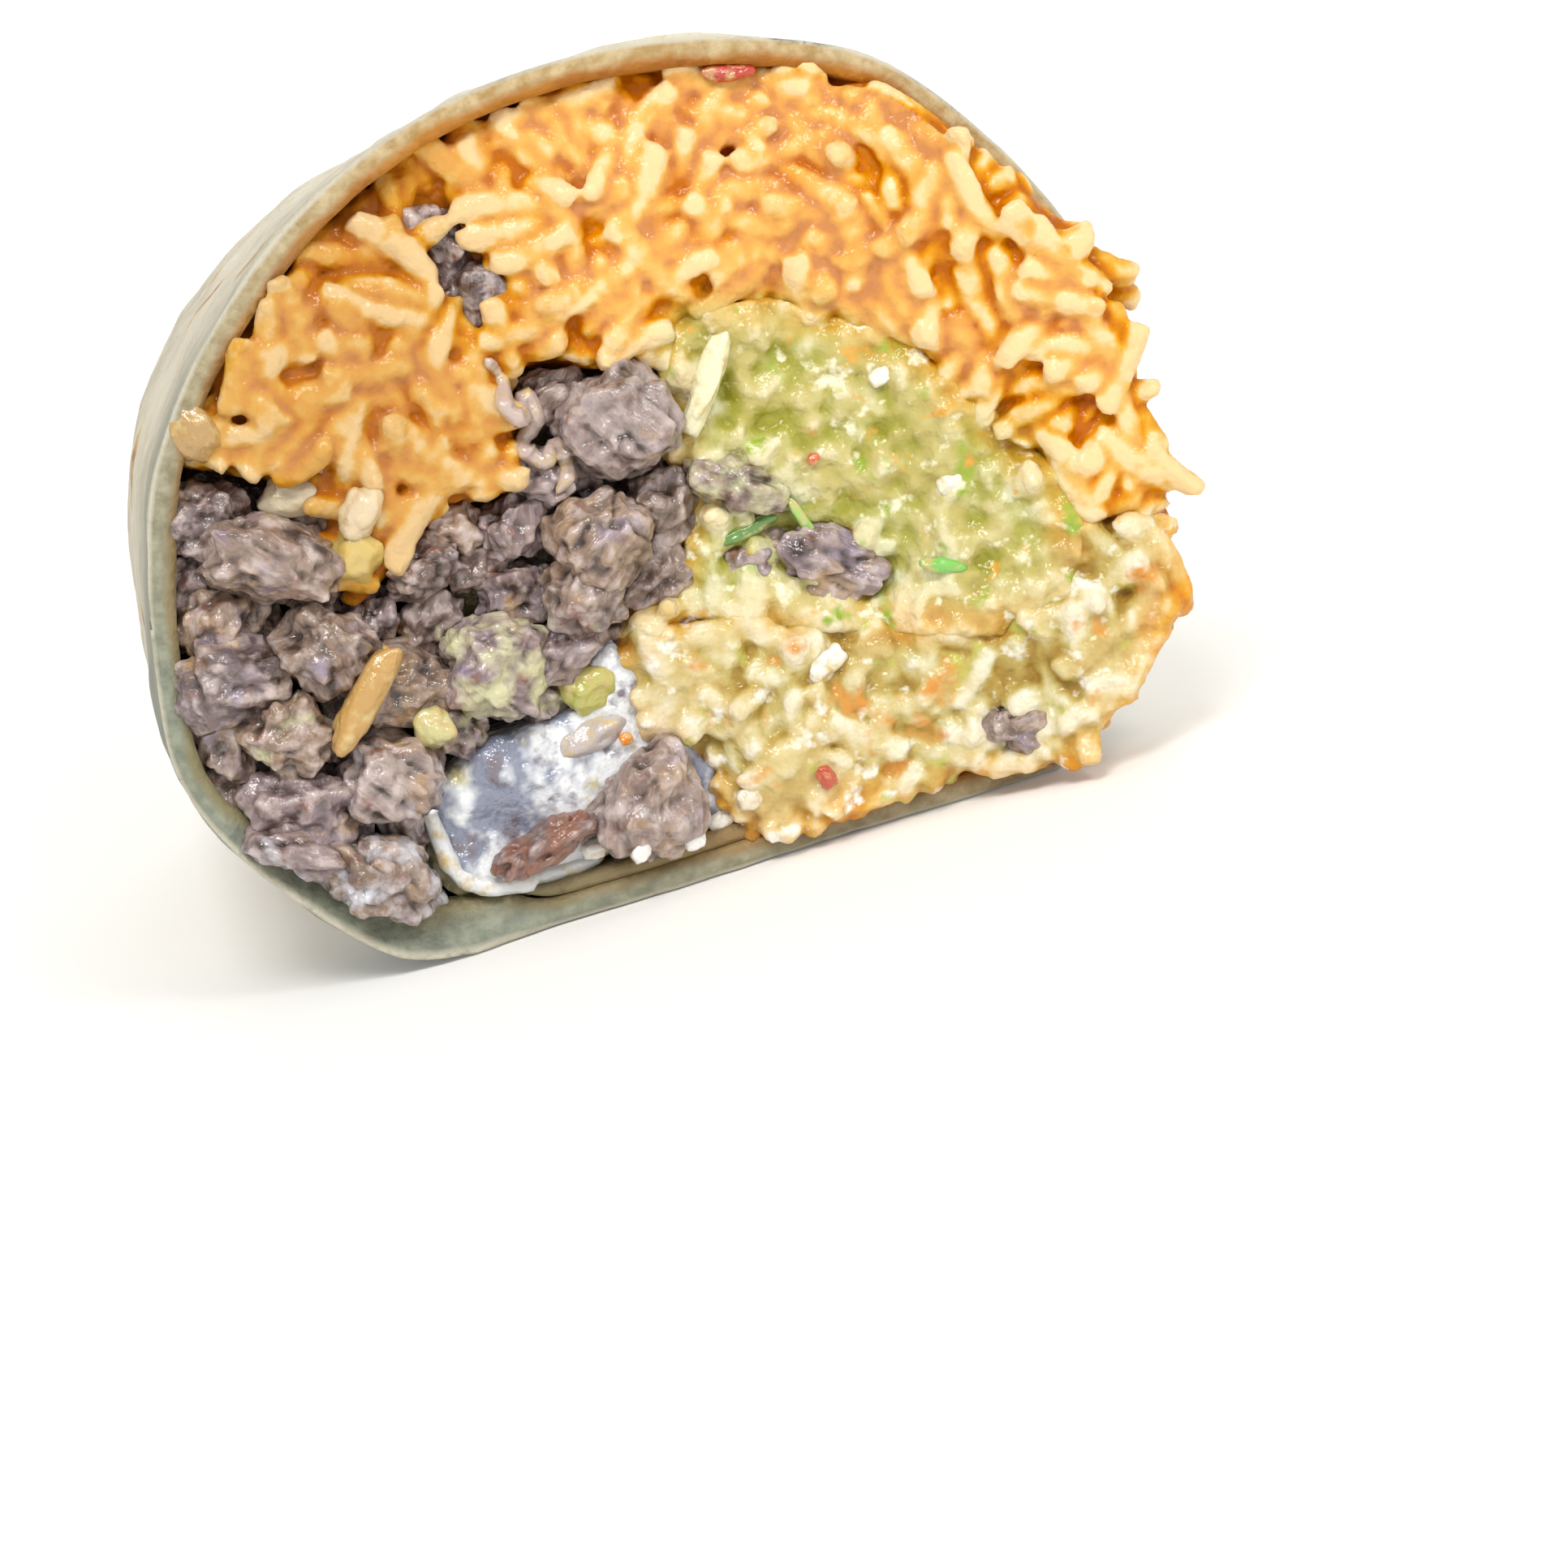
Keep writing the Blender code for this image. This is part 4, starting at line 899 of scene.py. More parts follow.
steak_with_green = steak_finish("grilled_steak", (202, 198, 158))
steak_with_cream = steak_finish("grilled_steak_creamy", (204, 204, 212))
for name, room, depth, seed, dark, light in (
        ("side_steak", SIDE_STEAK_ROOM, 5.5, 7, (52, 36, 28), (96, 70, 56)),
        ("middle_steak", MIDDLE_STEAK_ROOM, 4.2, 8, (70, 56, 38), (122, 106, 68))):
    bed = laid_in_frame(name + "_bed", filled_back(
        name + "_bed", room, lambda x, z: proud(x, z) - depth + bumpy(x, z, 3, 3.5), 1.5, seed),
        juice_and_shade_finish(name + "_juice_and_shade", dark, light), name)
for name, lumps, seed, finish, stands_for in (
        ("side_steak_pieces", SIDE_STEAK, 100, steak_with_green, ()),
        ("low_steak_pieces", LOW_STEAK, 150, steak_with_cream, ()),
        ("middle_steak_pieces", MIDDLE_STEAK, 200, steak_with_green, ()),
        ("deep_steak_pieces", DEEP_STEAK, 250, steak_with_green, ()),
        ("guacamole_steak_pieces", GUACAMOLE_STEAK, 300, steak_with_green, ("guacamole_steak",)),
        ("dressed_steak_piece", DRESSED_STEAK, 350, steak_with_green, ()),
        ("cream_steak_piece", CREAM_STEAK, 400, steak_with_cream, ("cream_steak",)),
        ("cream_sliver_piece", CREAM_SLIVER, 500, steak_finish("browned_sliver", (138, 92, 72)),
         ("cream_steak_sliver",))):
    lump = laid_in_frame(name, steak_pieces(name, lumps, seed), finish, *stands_for)

# Rice: long grains cooked in tomato and spice, orange-yellow and moist, packed every way and cut through by the
# knife. Each grain is dropped where the heap is lowest, settles on what lies there and is then pressed in a little.
GRAIN_LENGTH = 8.4
GRAIN_WIDTH = 2.5


def grain_line(x, z, length, turn, tilt):
    """Points along a grain's axis on the face, and how much higher or lower each is than its middle."""
    steps = np.linspace(-0.5, 0.5, 7) * max(length - GRAIN_WIDTH, 0.1)
    return (x + steps * math.cos(turn) * math.cos(tilt), z + steps * math.sin(turn) * math.cos(tilt),
            steps * math.sin(tilt))


def settle_grain(x, z, length, width, turn, tilt, sink, most):
    """Lays a grain on the heap and raises it there. Returns how high the grain's middle lies."""
    xs, zs, ups = grain_line(x, z, length, turn, tilt)
    radius = width / 2
    under = heap[heap_rows(zs), heap_columns(xs)] + radius * 0.9 - ups
    middle = min(np.quantile(under, 0.7) - sink, most)
    columns = slice(*np.clip(((np.array((xs.min() - radius, xs.max() + radius)) - heap_x[0]) / HEAP_STEP + (0, 1.5)
                              ).astype(int), 0, len(heap_x)))
    rows = slice(*np.clip(((np.array((zs.min() - radius, zs.max() + radius)) - heap_z[0]) / HEAP_STEP + (0, 1.5)
                           ).astype(int), 0, len(heap_z)))
    part_x, part_z = grid_x[rows, columns], grid_z[rows, columns]
    for px, pz, up in zip(xs, zs, ups):
        flat = radius ** 2 - (part_x - px) ** 2 - (part_z - pz) ** 2
        top = np.where(flat > 0, middle + up + np.sqrt(np.maximum(flat, 0)), -99)
        heap[rows, columns] = np.maximum(heap[rows, columns], top)
    return middle


def spill_over(room):
    """The room widened over the rim on the right, where the rice bulges out in front of it."""
    return [(x + 1.7 * smoothstep(28, 36, x) * smoothstep(54, 48, z), z - 1.2 * smoothstep(8, 4, z)) for x, z in room]


# which way the grains lie together: they were pressed in loose bundles
bundles = over_face(lambda x, z: 5.0 * bumpy(x, z, 15.0, 6.6) + 1.2 * bumpy(x, z, 6.0, 1.6))


def drop_grains(room, level, most, seed, lengths, tilts, reach):
    """Fills a room up to a level over the face, and returns each grain's place, turn, size and depth below level."""
    draw = np.random.default_rng(seed)
    room = spill_over(room)
    fits = in_outline(grid_x, grid_z, room) & (from_outline(grid_x, grid_z, room) > reach)
    laid = []
    for _ in range(most):
        short = np.where(fits, level - heap, 0.0)
        low = short > 0.3
        if low.sum() < 30:
            break
        chance = short[low] ** 1.5
        pick = draw.choice(np.flatnonzero(low), p=chance / chance.sum())
        row, column = np.unravel_index(pick, heap.shape)
        x, z = grid_x[row, column] + draw.uniform(-0.3, 0.3), grid_z[row, column] + draw.uniform(-0.3, 0.3)
        width = GRAIN_WIDTH * draw.uniform(0.8, 1.12)
        for attempt in range(12):
            length = GRAIN_LENGTH * draw.uniform(*lengths) * (1 - 0.05 * attempt)
            turn = bundles[row, column] + draw.normal(0, 0.55)
            tilt = math.radians(draw.normal(0, tilts))
            xs, zs, _ = grain_line(x, z, length, turn, tilt)
            if fits[heap_rows(zs), heap_columns(xs)].mean() > 0.8:
                break
        middle = settle_grain(x, z, length, width, turn, tilt, 0.6, level[row, column] + 0.4)
        laid.append((x, CUT_Y - middle, z, turn, tilt, length, width))
    return laid


# The grains that stand out in the picture: x, z, length, turn in degrees and how pale each is.
HERO_RICE = [
    (-27.1, 22.8, 8.9, -134, 0.15), (-0.4, 48.3, 8.0, 15, 0.95), (20.4, 46.8, 8.4, -93, 0.55),
    (2.5, 62.6, 6.6, 8, 0.5), (7.2, 60.0, 6.6, 36, 0.6), (15.0, 57.8, 9.0, -31, 0.55), (13.3, 61.1, 6.4, -30, 0.45),
    (-5.5, 56.7, 9.0, -14, 0.8), (-5.4, 54.5, 9.2, -3, 0.75), (-4.5, 52.6, 7.0, 10, 0.6),
    (-14.5, 55.9, 8.6, -54, 0.7), (-17.9, 51.6, 8.8, -32, 0.6), (-23.9, 52.7, 7.4, -83, 0.35),
    (-27.0, 50.8, 5.8, -8, 0.65), (-16.1, 39.0, 8.8, -51, 0.85), (-19.7, 34.5, 8.0, 46, 0.6),
    (-10.9, 42.1, 6.6, -51, 0.5), (11.2, 51.1, 7.4, -34, 0.5), (13.3, 47.5, 9.0, -25, 0.75),
    (29.7, 47.5, 8.4, -73, 0.4), (33.7, 43.0, 7.2, -55, 0.45), (27.2, 54.9, 8.0, -48, 0.3),
    (35.1, 41.6, 7.2, -63, 0.4), (39.2, 37.7, 6.4, -34, 0.7), (38.8, 39.2, 6.2, -38, 0.6),
    (37.9, 31.4, 7.8, -127, 0.5), (36.8, 34.4, 7.4, -72, 0.6), (39.6, 22.4, 6.4, -56, 0.55),
]
HERO_DRESSED = [
    (37.8, 14.6, 8.2, -82, 0.5), (4.2, 8.0, 8.6, 27, 0.35), (1.0, 12.1, 7.4, -65, 0.4), (-3.4, 18.4, 7.0, -79, 0.5),
    (10.9, 7.7, 7.0, -37, 0.6), (28.9, 5.9, 7.2, 10, 0.3),
]


def lay_heroes(heroes, sink):
    """The grains that stand out in the picture, laid last, each in its own place."""
    laid = []
    for x, z, length, turn, _ in heroes:
        turn = math.radians(turn)
        over_meat = in_outline(x, z, SIDE_STEAK_ROOM)
        middle = settle_grain(x, z, length, GRAIN_WIDTH, turn, 0.0, 0.3 if over_meat else sink,
                              9.0 if over_meat else proud(x, z) + 0.9)
        laid.append((x, CUT_Y - middle, z, turn, 0.0, length, GRAIN_WIDTH))
    return laid


def grain_points(name, laid, tints):
    """The grains' places as loose points, each with its turn, size and colour, for the tree that makes the grains."""
    mesh = bpy.data.meshes.new(name)
    mesh.from_pydata([tuple(c * 0.001 for c in grain[:3]) for grain in laid], [], [])
    turns = [tuple((Matrix.Rotation(-turn, 3, "Y") @ Matrix.Rotation(-tilt, 3, "Z")
                    @ Matrix.Rotation(k * 2.4, 3, "X")).to_euler()) for k, (*_, turn, tilt, _, _) in enumerate(laid)]
    sizes = [(length / GRAIN_LENGTH, width / GRAIN_WIDTH, width / GRAIN_WIDTH * (0.82 + 0.3 * (k * 0.37 % 1)))
             for k, (*_, length, width) in enumerate(laid)]
    for label, values in (("turn", turns), ("size", sizes)):
        keep_on(mesh, label, values, "FLOAT_VECTOR")
    keep_on(mesh, "tint", tints)
    return mesh


def grain_tree():
    """Nodes that put a cooked grain on each point: a blunt seed, bent a little, each one uneven in its own way."""
    tree = bpy.data.node_groups.new("cooked_grains", "GeometryNodeTree")
    tree.interface.new_socket("Places", in_out="INPUT", socket_type="NodeSocketGeometry")
    for label, value in (("Length", GRAIN_LENGTH * 0.001), ("Width", GRAIN_WIDTH * 0.001), ("Bend", 0.0007),
                         ("Unevenness", 0.0004), ("Seed", 4.0)):
        tree.interface.new_socket(label, in_out="INPUT", socket_type="NodeSocketFloat").default_value = value
    tree.interface.new_socket("Finish", in_out="INPUT", socket_type="NodeSocketMaterial")
    tree.interface.new_socket("Grains", in_out="OUTPUT", socket_type="NodeSocketGeometry")
    given = tree.nodes.new("NodeGroupInput").outputs
    ball = add_node(tree, "GeometryNodeMeshUVSphere", Segments=11, Rings=11, Radius=1.0)
    place = add_node(tree, "GeometryNodeInputPosition").outputs[0]
    part = add_node(tree, "ShaderNodeSeparateXYZ", Vector=place).outputs
    flank = worked_out(tree, "POWER", worked_out(tree, "MAXIMUM", worked_out(
        tree, "SUBTRACT", 1.0, worked_out(tree, "POWER", worked_out(tree, "ABSOLUTE", part["Z"]), 2.0)), 0.0001), -0.34)
    along = worked_out(tree, "MULTIPLY", part["Z"], worked_out(tree, "MULTIPLY", given["Length"], 0.5))
    half = worked_out(tree, "MULTIPLY", given["Width"], 0.5)
    across = worked_out(tree, "MULTIPLY", worked_out(tree, "MULTIPLY", part["X"], flank), half)
    rise = worked_out(tree, "MULTIPLY", worked_out(tree, "MULTIPLY", part["Y"], flank), half)
    rise = worked_out(tree, "ADD", rise, worked_out(tree, "MULTIPLY", worked_out(
        tree, "MULTIPLY", part["Z"], part["Z"]), given["Bend"]))
    shaped = add_node(tree, "ShaderNodeCombineXYZ", X=along, Y=across, Z=rise)
    seed_shape = add_node(tree, "GeometryNodeSetPosition", Geometry=ball.outputs["Mesh"], Position=shaped.outputs[0])
    turn = add_node(tree, "GeometryNodeInputNamedAttribute", {"data_type": "FLOAT_VECTOR"}, Name="turn")
    size = add_node(tree, "GeometryNodeInputNamedAttribute", {"data_type": "FLOAT_VECTOR"}, Name="size")
    laid = add_node(tree, "GeometryNodeInstanceOnPoints", Points=given["Places"],
                    Instance=seed_shape.outputs["Geometry"], Rotation=turn.outputs["Attribute"],
                    Scale=size.outputs["Attribute"])
    real = add_node(tree, "GeometryNodeRealizeInstances", Geometry=laid.outputs["Instances"])
    cloud = add_node(tree, "ShaderNodeTexNoise", {"noise_dimensions": "4D"}, W=given["Seed"], Scale=430.0, Detail=3.0)
    centred = add_node(tree, "ShaderNodeVectorMath", {"operation": "SUBTRACT"})
    tree.links.new(cloud.outputs["Color"], centred.inputs[0])
    centred.inputs[1].default_value = (0.5, 0.5, 0.5)
    scaled = add_node(tree, "ShaderNodeVectorMath", {"operation": "SCALE"}, Scale=worked_out(
        tree, "MULTIPLY", given["Unevenness"], 2.0))
    tree.links.new(centred.outputs[0], scaled.inputs[0])
    uneven = add_node(tree, "GeometryNodeSetPosition", Geometry=real.outputs[0], Offset=scaled.outputs[0])
    smooth = add_node(tree, "GeometryNodeSetShadeSmooth", Geometry=uneven.outputs[0])
    coated = add_node(tree, "GeometryNodeSetMaterial", Geometry=smooth.outputs[0], Material=given["Finish"])
    tree.links.new(coated.outputs[0], tree.nodes.new("NodeGroupOutput").inputs["Grains"])
    return tree


knife = goal + 1.1 + 0.7 * over_face(lambda x, z: bumpy(x, z, 6.0, 2.2))
knife[~(in_room["rice"] | in_room["dressed"] | in_room["guacamole"])] += 3.0


def plain_result(holder):
    """The mesh that a holder's modifier makes; the holder goes."""
    mesh = bpy.data.meshes.new_from_object(holder.evaluated_get(bpy.context.evaluated_depsgraph_get()))
    holder.modifiers.clear()
    mesh.name = holder.name
    bpy.data.objects.remove(holder)
    return mesh


def grown_grains(name, points, finish, **inputs):
    """Runs the grain tree over the points, keeps the result as a plain mesh and trims it where the knife went."""
    holder = shown(name, points)
    grow = holder.modifiers.new("grains", "NODES")
    grow.node_group = cooked_grains
    labels = {item.name: item.identifier for item in cooked_grains.interface.items_tree if item.in_out == "INPUT"}
    for label, value in {"Finish": finish, **inputs}.items():
        grow[labels[label]] = value
    mesh = plain_result(holder)
    at = points_of(mesh)
    over = CUT_Y - at[:, 1] - sampled(knife, at[:, 0], at[:, 2])
    at[:, 1] += np.maximum(over, 0) * 0.35
    mesh.vertices.foreach_set("co", (at * 0.001).ravel())
    return mesh


def evened(at, ends, rounds, share):
    """The points moved a share of the way to the middle of their neighbours, for some rounds."""
    first, second = ends
    count = np.bincount(first, minlength=len(at)) + np.bincount(second, minlength=len(at))
    for _ in range(rounds):
        middle = np.stack([np.bincount(first, at[second, k], len(at)) + np.bincount(second, at[first, k], len(at))
                           for k in range(at.shape[1])], axis=1) / np.maximum(count, 1)[:, None]
        at = at + share * (middle - at)
    return at


def grown_together(name, grains, mush, step, rounds):
    """Grains and the mush they stick in as one skin with softened creases; also each point's tint and crest."""
    both = bmesh.new()
    both.from_mesh(grains)
    both.from_mesh(mush)
    whole = bpy.data.meshes.new(name)
    both.to_mesh(whole)
    both.free()
    tints = np.empty(len(grains.vertices), np.float32)
    grains.attributes["tint"].data.foreach_get("value", tints)
    holder = shown(name, whole)
    skin = holder.modifiers.new("skin", "REMESH")
    skin.mode, skin.voxel_size = "VOXEL", step * 0.001
    mesh = plain_result(holder)
    nearest = KDTree(len(tints))
    for k, point in enumerate(points_of(grains)):
        nearest.insert(point, k)
    nearest.balance()
    ends = np.empty(len(mesh.edges) * 2, int)
    mesh.edges.foreach_get("vertices", ends)
    ends = ends.reshape(-1, 2).T
    at = evened(points_of(mesh), ends, rounds, 0.6)
    near = [nearest.find(point) for point in at]
    tint = np.array([[0.5 + (tints[k] - 0.5) * smoothstep(1.5, 0.8, away)] for _, k, away in near])
    tint = evened(tint, ends, 3, 0.6)[:, 0]
    mesh.vertices.foreach_set("co", (at * 0.001).ravel())
    outwards = np.empty(len(at) * 3)
    mesh.vertices.foreach_get("normal", outwards)
    outwards = outwards.reshape(-1, 3)
    crest = ((at - evened(at, ends, 14, 0.7)) * outwards).sum(axis=1)
    fine = [0.1 * noise.noise(Vector(point) * 1.0) + 0.07 * noise.noise(Vector(point) * 2.3) for point in at]
    at = at + outwards * np.array(fine)[:, None]
    mesh.vertices.foreach_set("co", (at * 0.001).ravel())
    mesh.polygons.foreach_set("use_smooth", [True] * len(mesh.polygons))
    return mesh, tint, crest


cooked_grains = grain_tree()
clumps = over_face(lambda x, z: 1.1 * bumpy(x, z, 7.0, 3.3))
# gaps in the rice, some with meat deep in them: x, z, how wide, how deep
GAPS = [
    (-11.2, 55.2, 2.9, 4.5), (-9.0, 50.6, 3.0, 4.5), (-13.7, 61.8, 1.6, 4.0), (-0.6, 56.1, 1.3, 3.5),
    (-0.2, 57.6, 1.0, 2.5), (23.2, 59.3, 1.2, 3.0), (31.5, 51.7, 1.0, 3.0), (35.7, 43.8, 1.0, 3.0),
    (18.6, 44.6, 1.3, 3.0), (6.8, 53.6, 1.0, 2.5), (-20.0, 55.4, 1.4, 3.5), (-24.2, 49.6, 1.2, 3.0),
    (-5.0, 61.0, 1.3, 3.5), (-17.0, 58.6, 1.2, 3.0), (-22.0, 47.0, 1.2, 3.0), (-16.5, 44.0, 1.2, 3.0),
    (27.0, 45.5, 1.0, 2.5), (12.5, 55.0, 1.0, 2.5), (-27.5, 45.5, 1.2, 2.5), (-8.5, 58.4, 1.2, 3.0),
    (-13.4, 51.6, 1.2, 3.0), (-18.6, 48.2, 1.1, 3.0), (-25.0, 55.0, 1.2, 3.0), (-12.0, 46.6, 1.1, 2.5),
    (-3.6, 50.6, 1.0, 2.5), (9.8, 48.8, 1.0, 2.5), (-30.5, 47.0, 1.2, 3.0),
]
gaps = sum(deep * np.exp(-((grid_x - x) ** 2 + (grid_z - z) ** 2) / wide ** 2) for x, z, wide, deep in GAPS)
# where the rice hangs over the rim it lies in front of it, and the mush doesn't climb the lumps of meat
over_rim = in_outline(grid_x, grid_z, spill_over(RICE_ROOM)) | in_outline(grid_x, grid_z, spill_over(DRESSED_ROOM))
over_rim &= from_outline(grid_x, grid_z, sheet_outside[::3]) < 2.4
heap[over_rim | ~in_outline(grid_x, grid_z, sheet_outside[::3])] = 0.9
on_lumps = (in_room["guacamole"] | in_room["dressed"]) & (heap > goal - 1.9)
laid_grains = {}
laid_grains["guacamole"] = drop_grains(GUACAMOLE_ROOM, goal - 0.1 + clumps, 300, 13, (0.3, 0.7), 30, 0.3)
laid_grains["rice"] = drop_grains(RICE_ROOM, goal + 0.1 + clumps - gaps, 760, 11, (0.55, 1.1), 17, 0.8)
laid_grains["dressed"] = drop_grains(DRESSED_ROOM, goal - 0.1 + 0.7 * clumps, 360, 12, (0.35, 0.9), 22, 0.6)
heroes = {"rice": HERO_RICE, "dressed": HERO_DRESSED, "guacamole": []}
laid_grains["rice"] += lay_heroes(HERO_RICE, 0.8)
laid_grains["dressed"] += lay_heroes(HERO_DRESSED, 0.8)
filled = in_room["rice"] | in_room["dressed"] | in_room["guacamole"]
filled |= in_outline(grid_x, grid_z, spill_over(RICE_ROOM)) | in_outline(grid_x, grid_z, spill_over(DRESSED_ROOM))
seen = np.where(heap > knife, knife + 0.65 * (heap - knife), heap)
seen[on_lumps] = np.minimum(seen, goal - 1.0)[on_lumps]
rise_over = softened(seen, filled, 1.6)
MASS_UNDER_MUSH = 1.4
LEFT_DROP = 0.9
NOTCH_X, NOTCH_Z, NOTCH_DEPTH, NOTCH_WIDTH = -24.2, 30.5, 3.0, 3.0
MUSH_BEHIND = 5.6
# For each filling with grains: how deep the mush lies under their tops and how far it is evened out, how rough it is
# and over what size, the fineness and softening of the skin over mush and grains, and how much paler the crests are
# painted, as painted highlight.
FILLINGS = {
    "rice": dict(room=RICE_ROOM, slot="rice", below=1.4, even=0.5, rough=0.5, size=1.6, fineness=0.29, rounds=2,
                 crest_highlight=3.8, reach=0.6, seed=5, finish=wet_finish("spiced_rice", 0.4, 1.1, 0.2, coat=0.36)),
    "guacamole": dict(room=GUACAMOLE_ROOM, slot="guacamole", below=-0.3, even=0.6, rough=0.85, size=1.7,
                      fineness=0.28, rounds=3, crest_highlight=1.2, reach=1.0, seed=9, finish=wet_finish(
                          "mashed_avocado", 0.3, 1.2, 0.3, flecks=(
                              (3.5, 0.6, 0.7, 4, (150, 172, 60)), (1.8, 0.6, 0.7, 6, (236, 232, 200)),
                              (2.6, 0.63, 0.72, 8, (216, 164, 70))))),
    "dressed": dict(room=DRESSED_ROOM, slot="dressed_rice", below=0.25, even=0.5, rough=0.75, size=1.5,
                    fineness=0.28, rounds=1, crest_highlight=1.4, reach=0.6, seed=6, finish=wet_finish(
                        "dressed_rice", 0.3, 1.2, 0.3, flecks=(
                            (2.2, 0.6, 0.72, 5, (240, 238, 228)), (3.6, 0.6, 0.72, 2, (212, 146, 66)),
                            (3.2, 0.6, 0.7, 3, (190, 186, 92))))),
}
for key, own in FILLINGS.items():
    slot, room, seed, finish = own["slot"], own["room"], own["seed"], own["finish"]
    level = softened(seen, in_room[key] & filled, own["even"]) - own["below"]
    if key == "rice":
        level -= LEFT_DROP * over_face(lambda x, z: smoothstep(0, -14, x))
        level -= NOTCH_DEPTH * np.exp(-((grid_x - NOTCH_X) ** 2 + (grid_z - NOTCH_Z) ** 2) / NOTCH_WIDTH ** 2)
    level = np.maximum(level, goal - 4.4)
    core = filled_back(slot + "_mass", room, lambda x, z: float(sampled(level, x, z)) - MASS_UNDER_MUSH, 1.2, seed)
    count = len(core.vertices)
    marked(core, rise_over, 0.0, tint=np.full(count, 0.5), cut=np.zeros(count))
    laid_in_frame(slot + "_mass", core, finish, slot)

    def mush_front(x, z):
        lumps = bumpy(x, z, own["size"], seed) + 0.5 * bumpy(x, z, own["size"] * 0.45, seed + 3)
        return float(sampled(level, x, z)) + own["rough"] * lumps

    mush = filled_back(slot + "_mush", widened(room, own["reach"]), mush_front, 0.45, seed, (MUSH_BEHIND,), 0.5)
    laid = laid_grains[key]
    draw = random.Random(seed)
    # Grains towards the left get a lower tint, so they are darker: painted shade.
    tints = [min(1.0, max(0.0, draw.gauss(0.5, 0.22) - 0.12 * smoothstep(4, -16, grain[0])))
             for grain in laid[:len(laid) - len(heroes[key])]]
    tints += [0.25 + 0.75 * hero[4] for hero in heroes[key]]
    loose = grown_grains(slot + "_loose", grain_points(slot + "_places", laid, tints), finish, Seed=float(seed))
    grains, tint, crest = grown_together(slot + "_grains", loose, mush, own["fineness"], own["rounds"])
    at = points_of(grains)
    cut = np.clip((CUT_Y - at[:, 1] - sampled(knife, at[:, 0], at[:, 2]) + 0.1) / 0.4, 0, 1)
    marked(grains, rise_over, crest * own["crest_highlight"], tint=tint, cut=cut)
    laid_in_frame(slot + "_grains", grains, finish)

# Small bits that show among the fillings: onion, tomato, green leaf and stem, a round green seed, crumbs of cheese, a
# soft lump under the cream and a string of fat. x, z, length, width, turn in degrees, lift, and the colour on screen.
BITS = [
    (6.1, 38.9, 8.6, 2.3, -125, 1.0, (232, 228, 190)), (-27.4, 38.9, 5.4, 3.2, -22, 1.2, (222, 208, 180)),
    (-23.2, 36.8, 4.6, 3.0, 50, 1.2, (214, 194, 160)), (-24.4, 33.4, 4.6, 4.4, 40, 0.6, (204, 176, 96)),
    (-27.1, 22.8, 8.9, 2.7, -134, 1.0, (190, 148, 78)), (-9.2, 17.6, 4.4, 4.0, 0, 1.4, (182, 178, 92)),
    (-9.8, 13.6, 6.4, 3.2, 8, 0.3, (190, 180, 176)), (-33.8, 46.2, 3.4, 4.6, 20, 0.0, (176, 140, 84)),
    (-7.5, 12.9, 1.1, 1.0, 0, 0.9, (238, 140, 36)), (19.7, 35.6, 2.0, 1.5, 20, 0.1, (238, 234, 220)),
    (9.6, 14.3, 3.6, 2.2, 30, 0.2, (240, 236, 226)), (22.7, 25.9, 2.2, 1.7, 0, 0.1, (236, 232, 212)),
    (10.9, 25.9, 0.9, 4.2, 20, 0.8, (150, 194, 96)), (20.4, 19.7, 4.0, 1.2, -20, 0.5, (120, 190, 84)),
    (6.4, 26.4, 5.0, 1.3, 10, 0.3, (96, 136, 58)), (6.9, 5.8, 1.5, 2.0, 20, 0.5, (186, 74, 44)),
    (14.4, 61.8, 4.2, 1.4, -12, 0.2, (178, 44, 10)), (-12.2, 5.0, 2.2, 1.6, 0, 0.8, (240, 238, 232)),
    (-1.6, 4.0, 2.4, 2.0, 20, 1.0, (238, 234, 224)), (0.6, 5.6, 2.2, 1.8, 0, 0.8, (226, 214, 190)),
    (-4.6, 3.8, 2.0, 1.5, 0, 0.8, (240, 240, 238)), (-9.2, 4.4, 1.8, 1.4, 30, 0.7, (236, 232, 228)),
    (12.8, 30.6, 1.0, 0.9, 0, 0.5, (206, 88, 30)), (-22.2, 18.6, 3.2, 3.2, 0, 1.6, (196, 190, 132)),
]


STRANDS = [
    ([(-10.4, 45.6), (-9.4, 43.6), (-10.0, 41.6), (-8.8, 40.4), (-7.8, 41.6), (-7.6, 39.4), (-9.2, 38.0), (-8.0, 36.4),
      (-6.6, 37.2), (-6.4, 35.2), (-7.8, 33.8)], 0.75, 0.3, (190, 170, 162)),
    ([(-24.3, 12.6), (-24.0, 9.4), (-23.6, 6.8), (-22.2, 4.9), (-19.4, 4.0), (-15.6, 3.8), (-11.6, 3.8)], 0.8, 0.3,
     (228, 230, 232)),
]


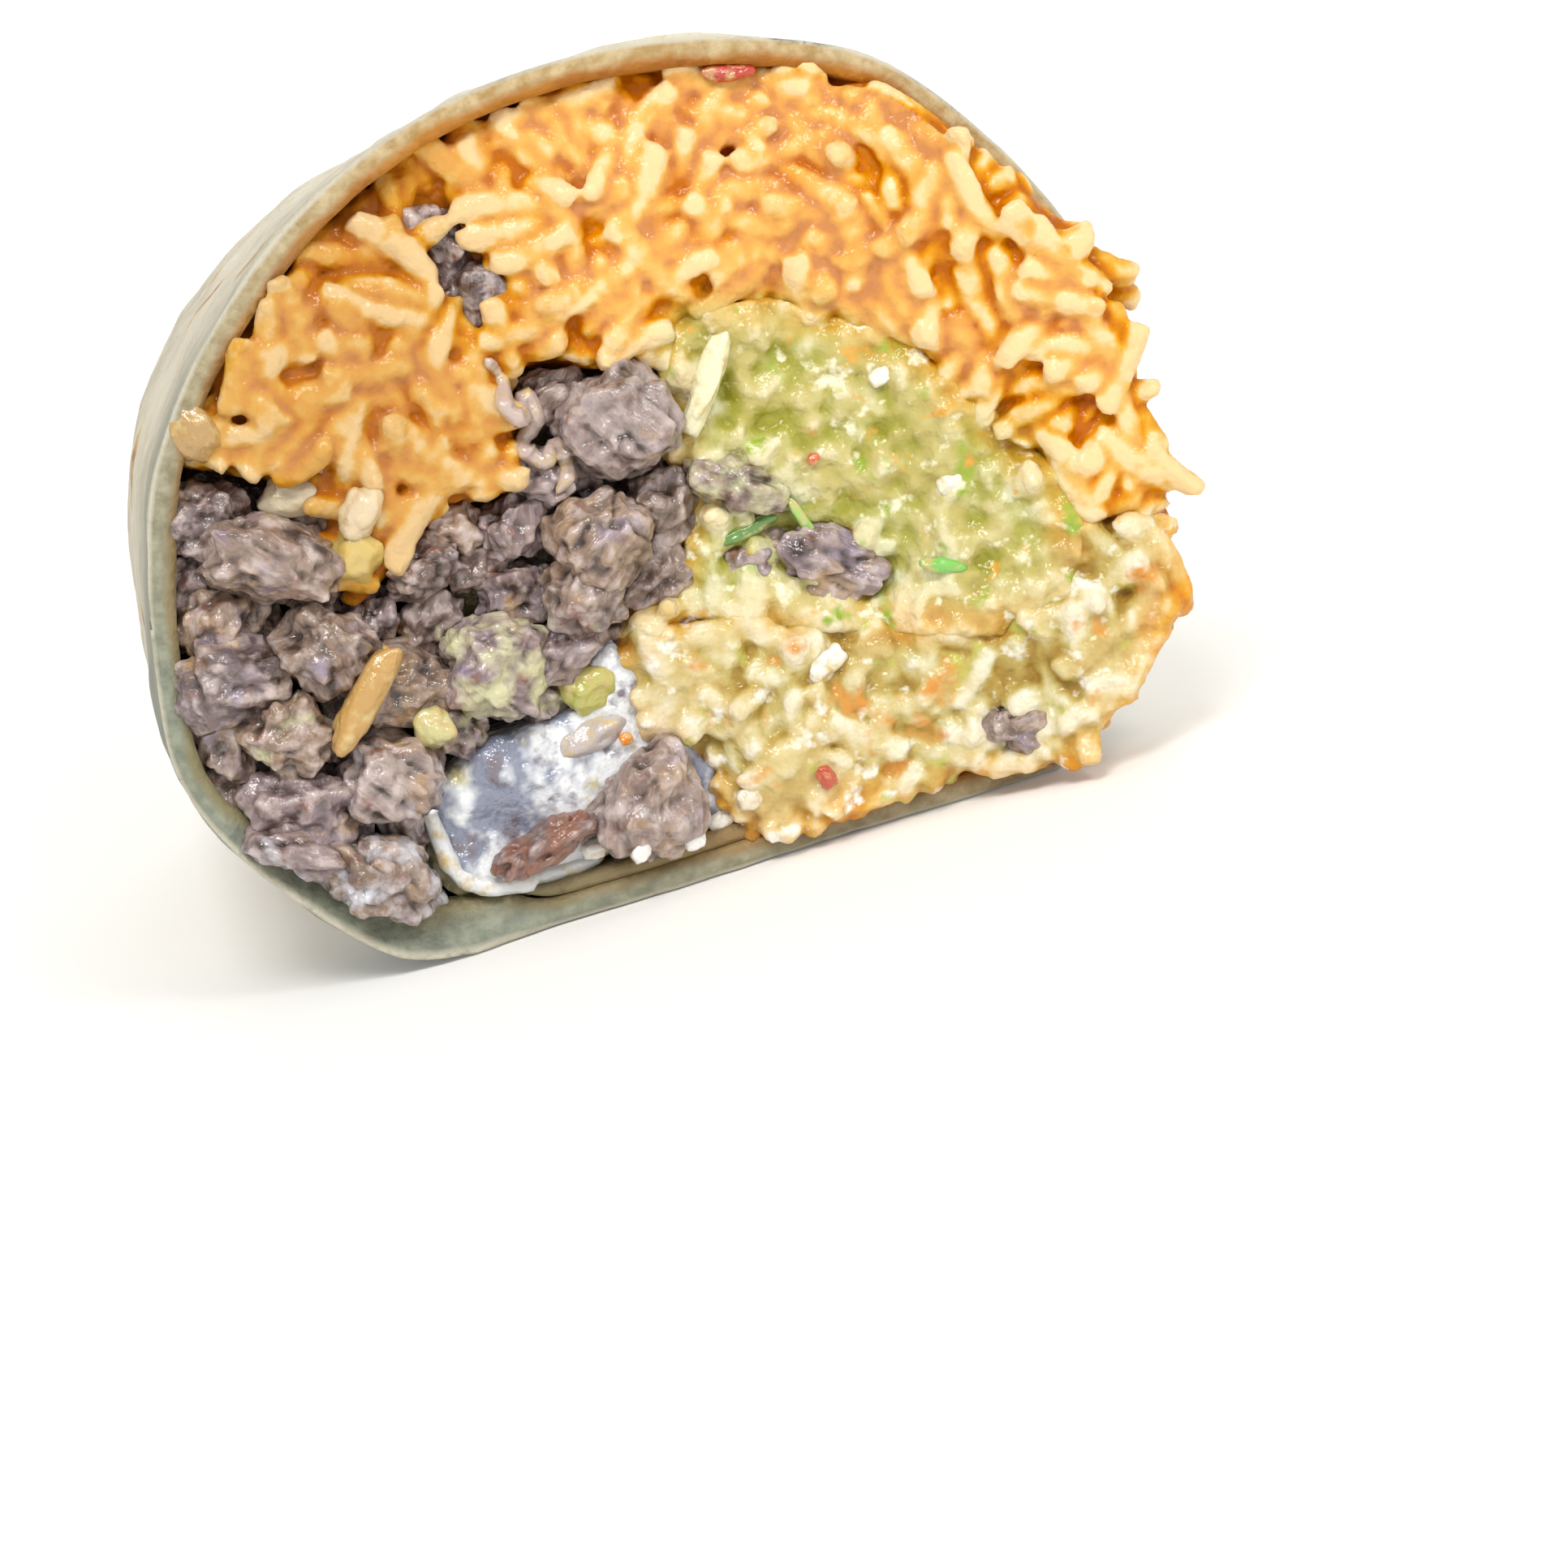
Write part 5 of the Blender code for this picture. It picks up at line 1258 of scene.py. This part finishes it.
def strand(points, thick, lift):
    """A soft round strand laid over the heap; its points and faces, in mm."""
    path = smooth_run(points, 5)
    verts, faces = [], []
    for k, (x, z) in enumerate(path):
        ahead, behind = path[min(k + 1, len(path) - 1)], path[max(k - 1, 0)]
        along = Vector((ahead[0] - behind[0], 0, ahead[1] - behind[1])).normalized()
        across = Vector((along.z, 0, -along.x))
        blunt = math.sqrt(max(0.02, 1 - (2 * k / (len(path) - 1) - 1) ** 6))
        radius = thick * (1 + 0.35 * noise.noise((k * 0.4, 0, 3))) * blunt
        level = max(float(heap[heap_rows(np.array(z)), heap_columns(np.array(x))]), proud(x, z) - 1.0) + lift
        for turn in np.linspace(0, math.tau, 11)[:-1]:
            out = across * math.cos(turn) + Vector((0, 1, 0)) * math.sin(turn)
            verts.append(tuple(Vector((x, CUT_Y - level, z)) + out * radius))
    for k in range(len(path) - 1):
        faces += [(10 * k + i, 10 * k + (i + 1) % 10, 10 * k + 10 + (i + 1) % 10, 10 * k + 10 + i) for i in range(10)]
    last = 10 * (len(path) - 1)
    return verts, [*faces, tuple(range(10)), tuple(range(last, last + 10))]


def small_bits():
    verts, faces, dyes = [], [], []
    for points, thick, lift, dye in STRANDS:
        start = len(verts)
        more, sides = strand(points, thick, lift)
        verts += more
        faces += [tuple(start + i for i in side) for side in sides]
        dyes += [dye] * len(more)
    ball = bmesh.new()
    bmesh.ops.create_icosphere(ball, subdivisions=4, radius=1.0)
    for k, (x, z, length, width, turn, lift, dye) in enumerate(BITS):
        start, spin = len(verts), Matrix.Rotation(-math.radians(turn), 3, "Y")
        under = heap[heap_rows(np.array(z)) + np.arange(-2, 3)[:, None], heap_columns(np.array(x)) + np.arange(-2, 3)]
        level = max(float(np.quantile(under, 0.6)), proud(x, z) - 2.0) + lift - 0.2 * min(length, width)
        for v in ball.verts:
            shift = Vector((k * 9.1, 4, 2))
            rough = 1 + 0.26 * noise.noise(v.co * 1.2 + shift) + 0.1 * noise.noise(v.co * 2.6 + shift)
            blunt = rough * max(1 - v.co.x ** 2, 0.02) ** -0.22
            at = spin @ Vector((v.co.x * length * rough, v.co.y * min(length, width) * 0.9 * blunt,
                                v.co.z * width * blunt)) * 0.5
            verts.append(tuple(at + Vector((x, CUT_Y - level, z))))
            dyes.append(dye)
        faces += [tuple(start + v.index for v in f.verts) for f in ball.faces]
    ball.free()
    mesh = plain_mesh("small_bits", verts, faces)
    keep_on(mesh, "dye", [on_screen(*dye) for dye in dyes], "FLOAT_COLOR")
    return mesh


bits_finish, bits_tree, bits_shader, bits_where = new_finish(
    "small_bits", 0.3, Subsurface_Weight=0.25, Subsurface_Radius=(1.0, 0.9, 0.7), Subsurface_Scale=0.001,
    Coat_Weight=1.0, Coat_Roughness=0.06)
dyed = add_node(bits_tree, "ShaderNodeAttribute", {"attribute_name": "dye"}).outputs["Color"]
bits_tree.links.new(between(bits_tree, patches(bits_tree, bits_where, 1.4, 0.5, 0.7), dyed, (204, 180, 120)),
                    bits_shader.inputs["Base Color"])
raised(bits_tree, bits_shader, patches(bits_tree, bits_where, 0.9, 0.2, 0.8), 0.12)
laid_in_frame("small_bits", small_bits(), bits_finish)
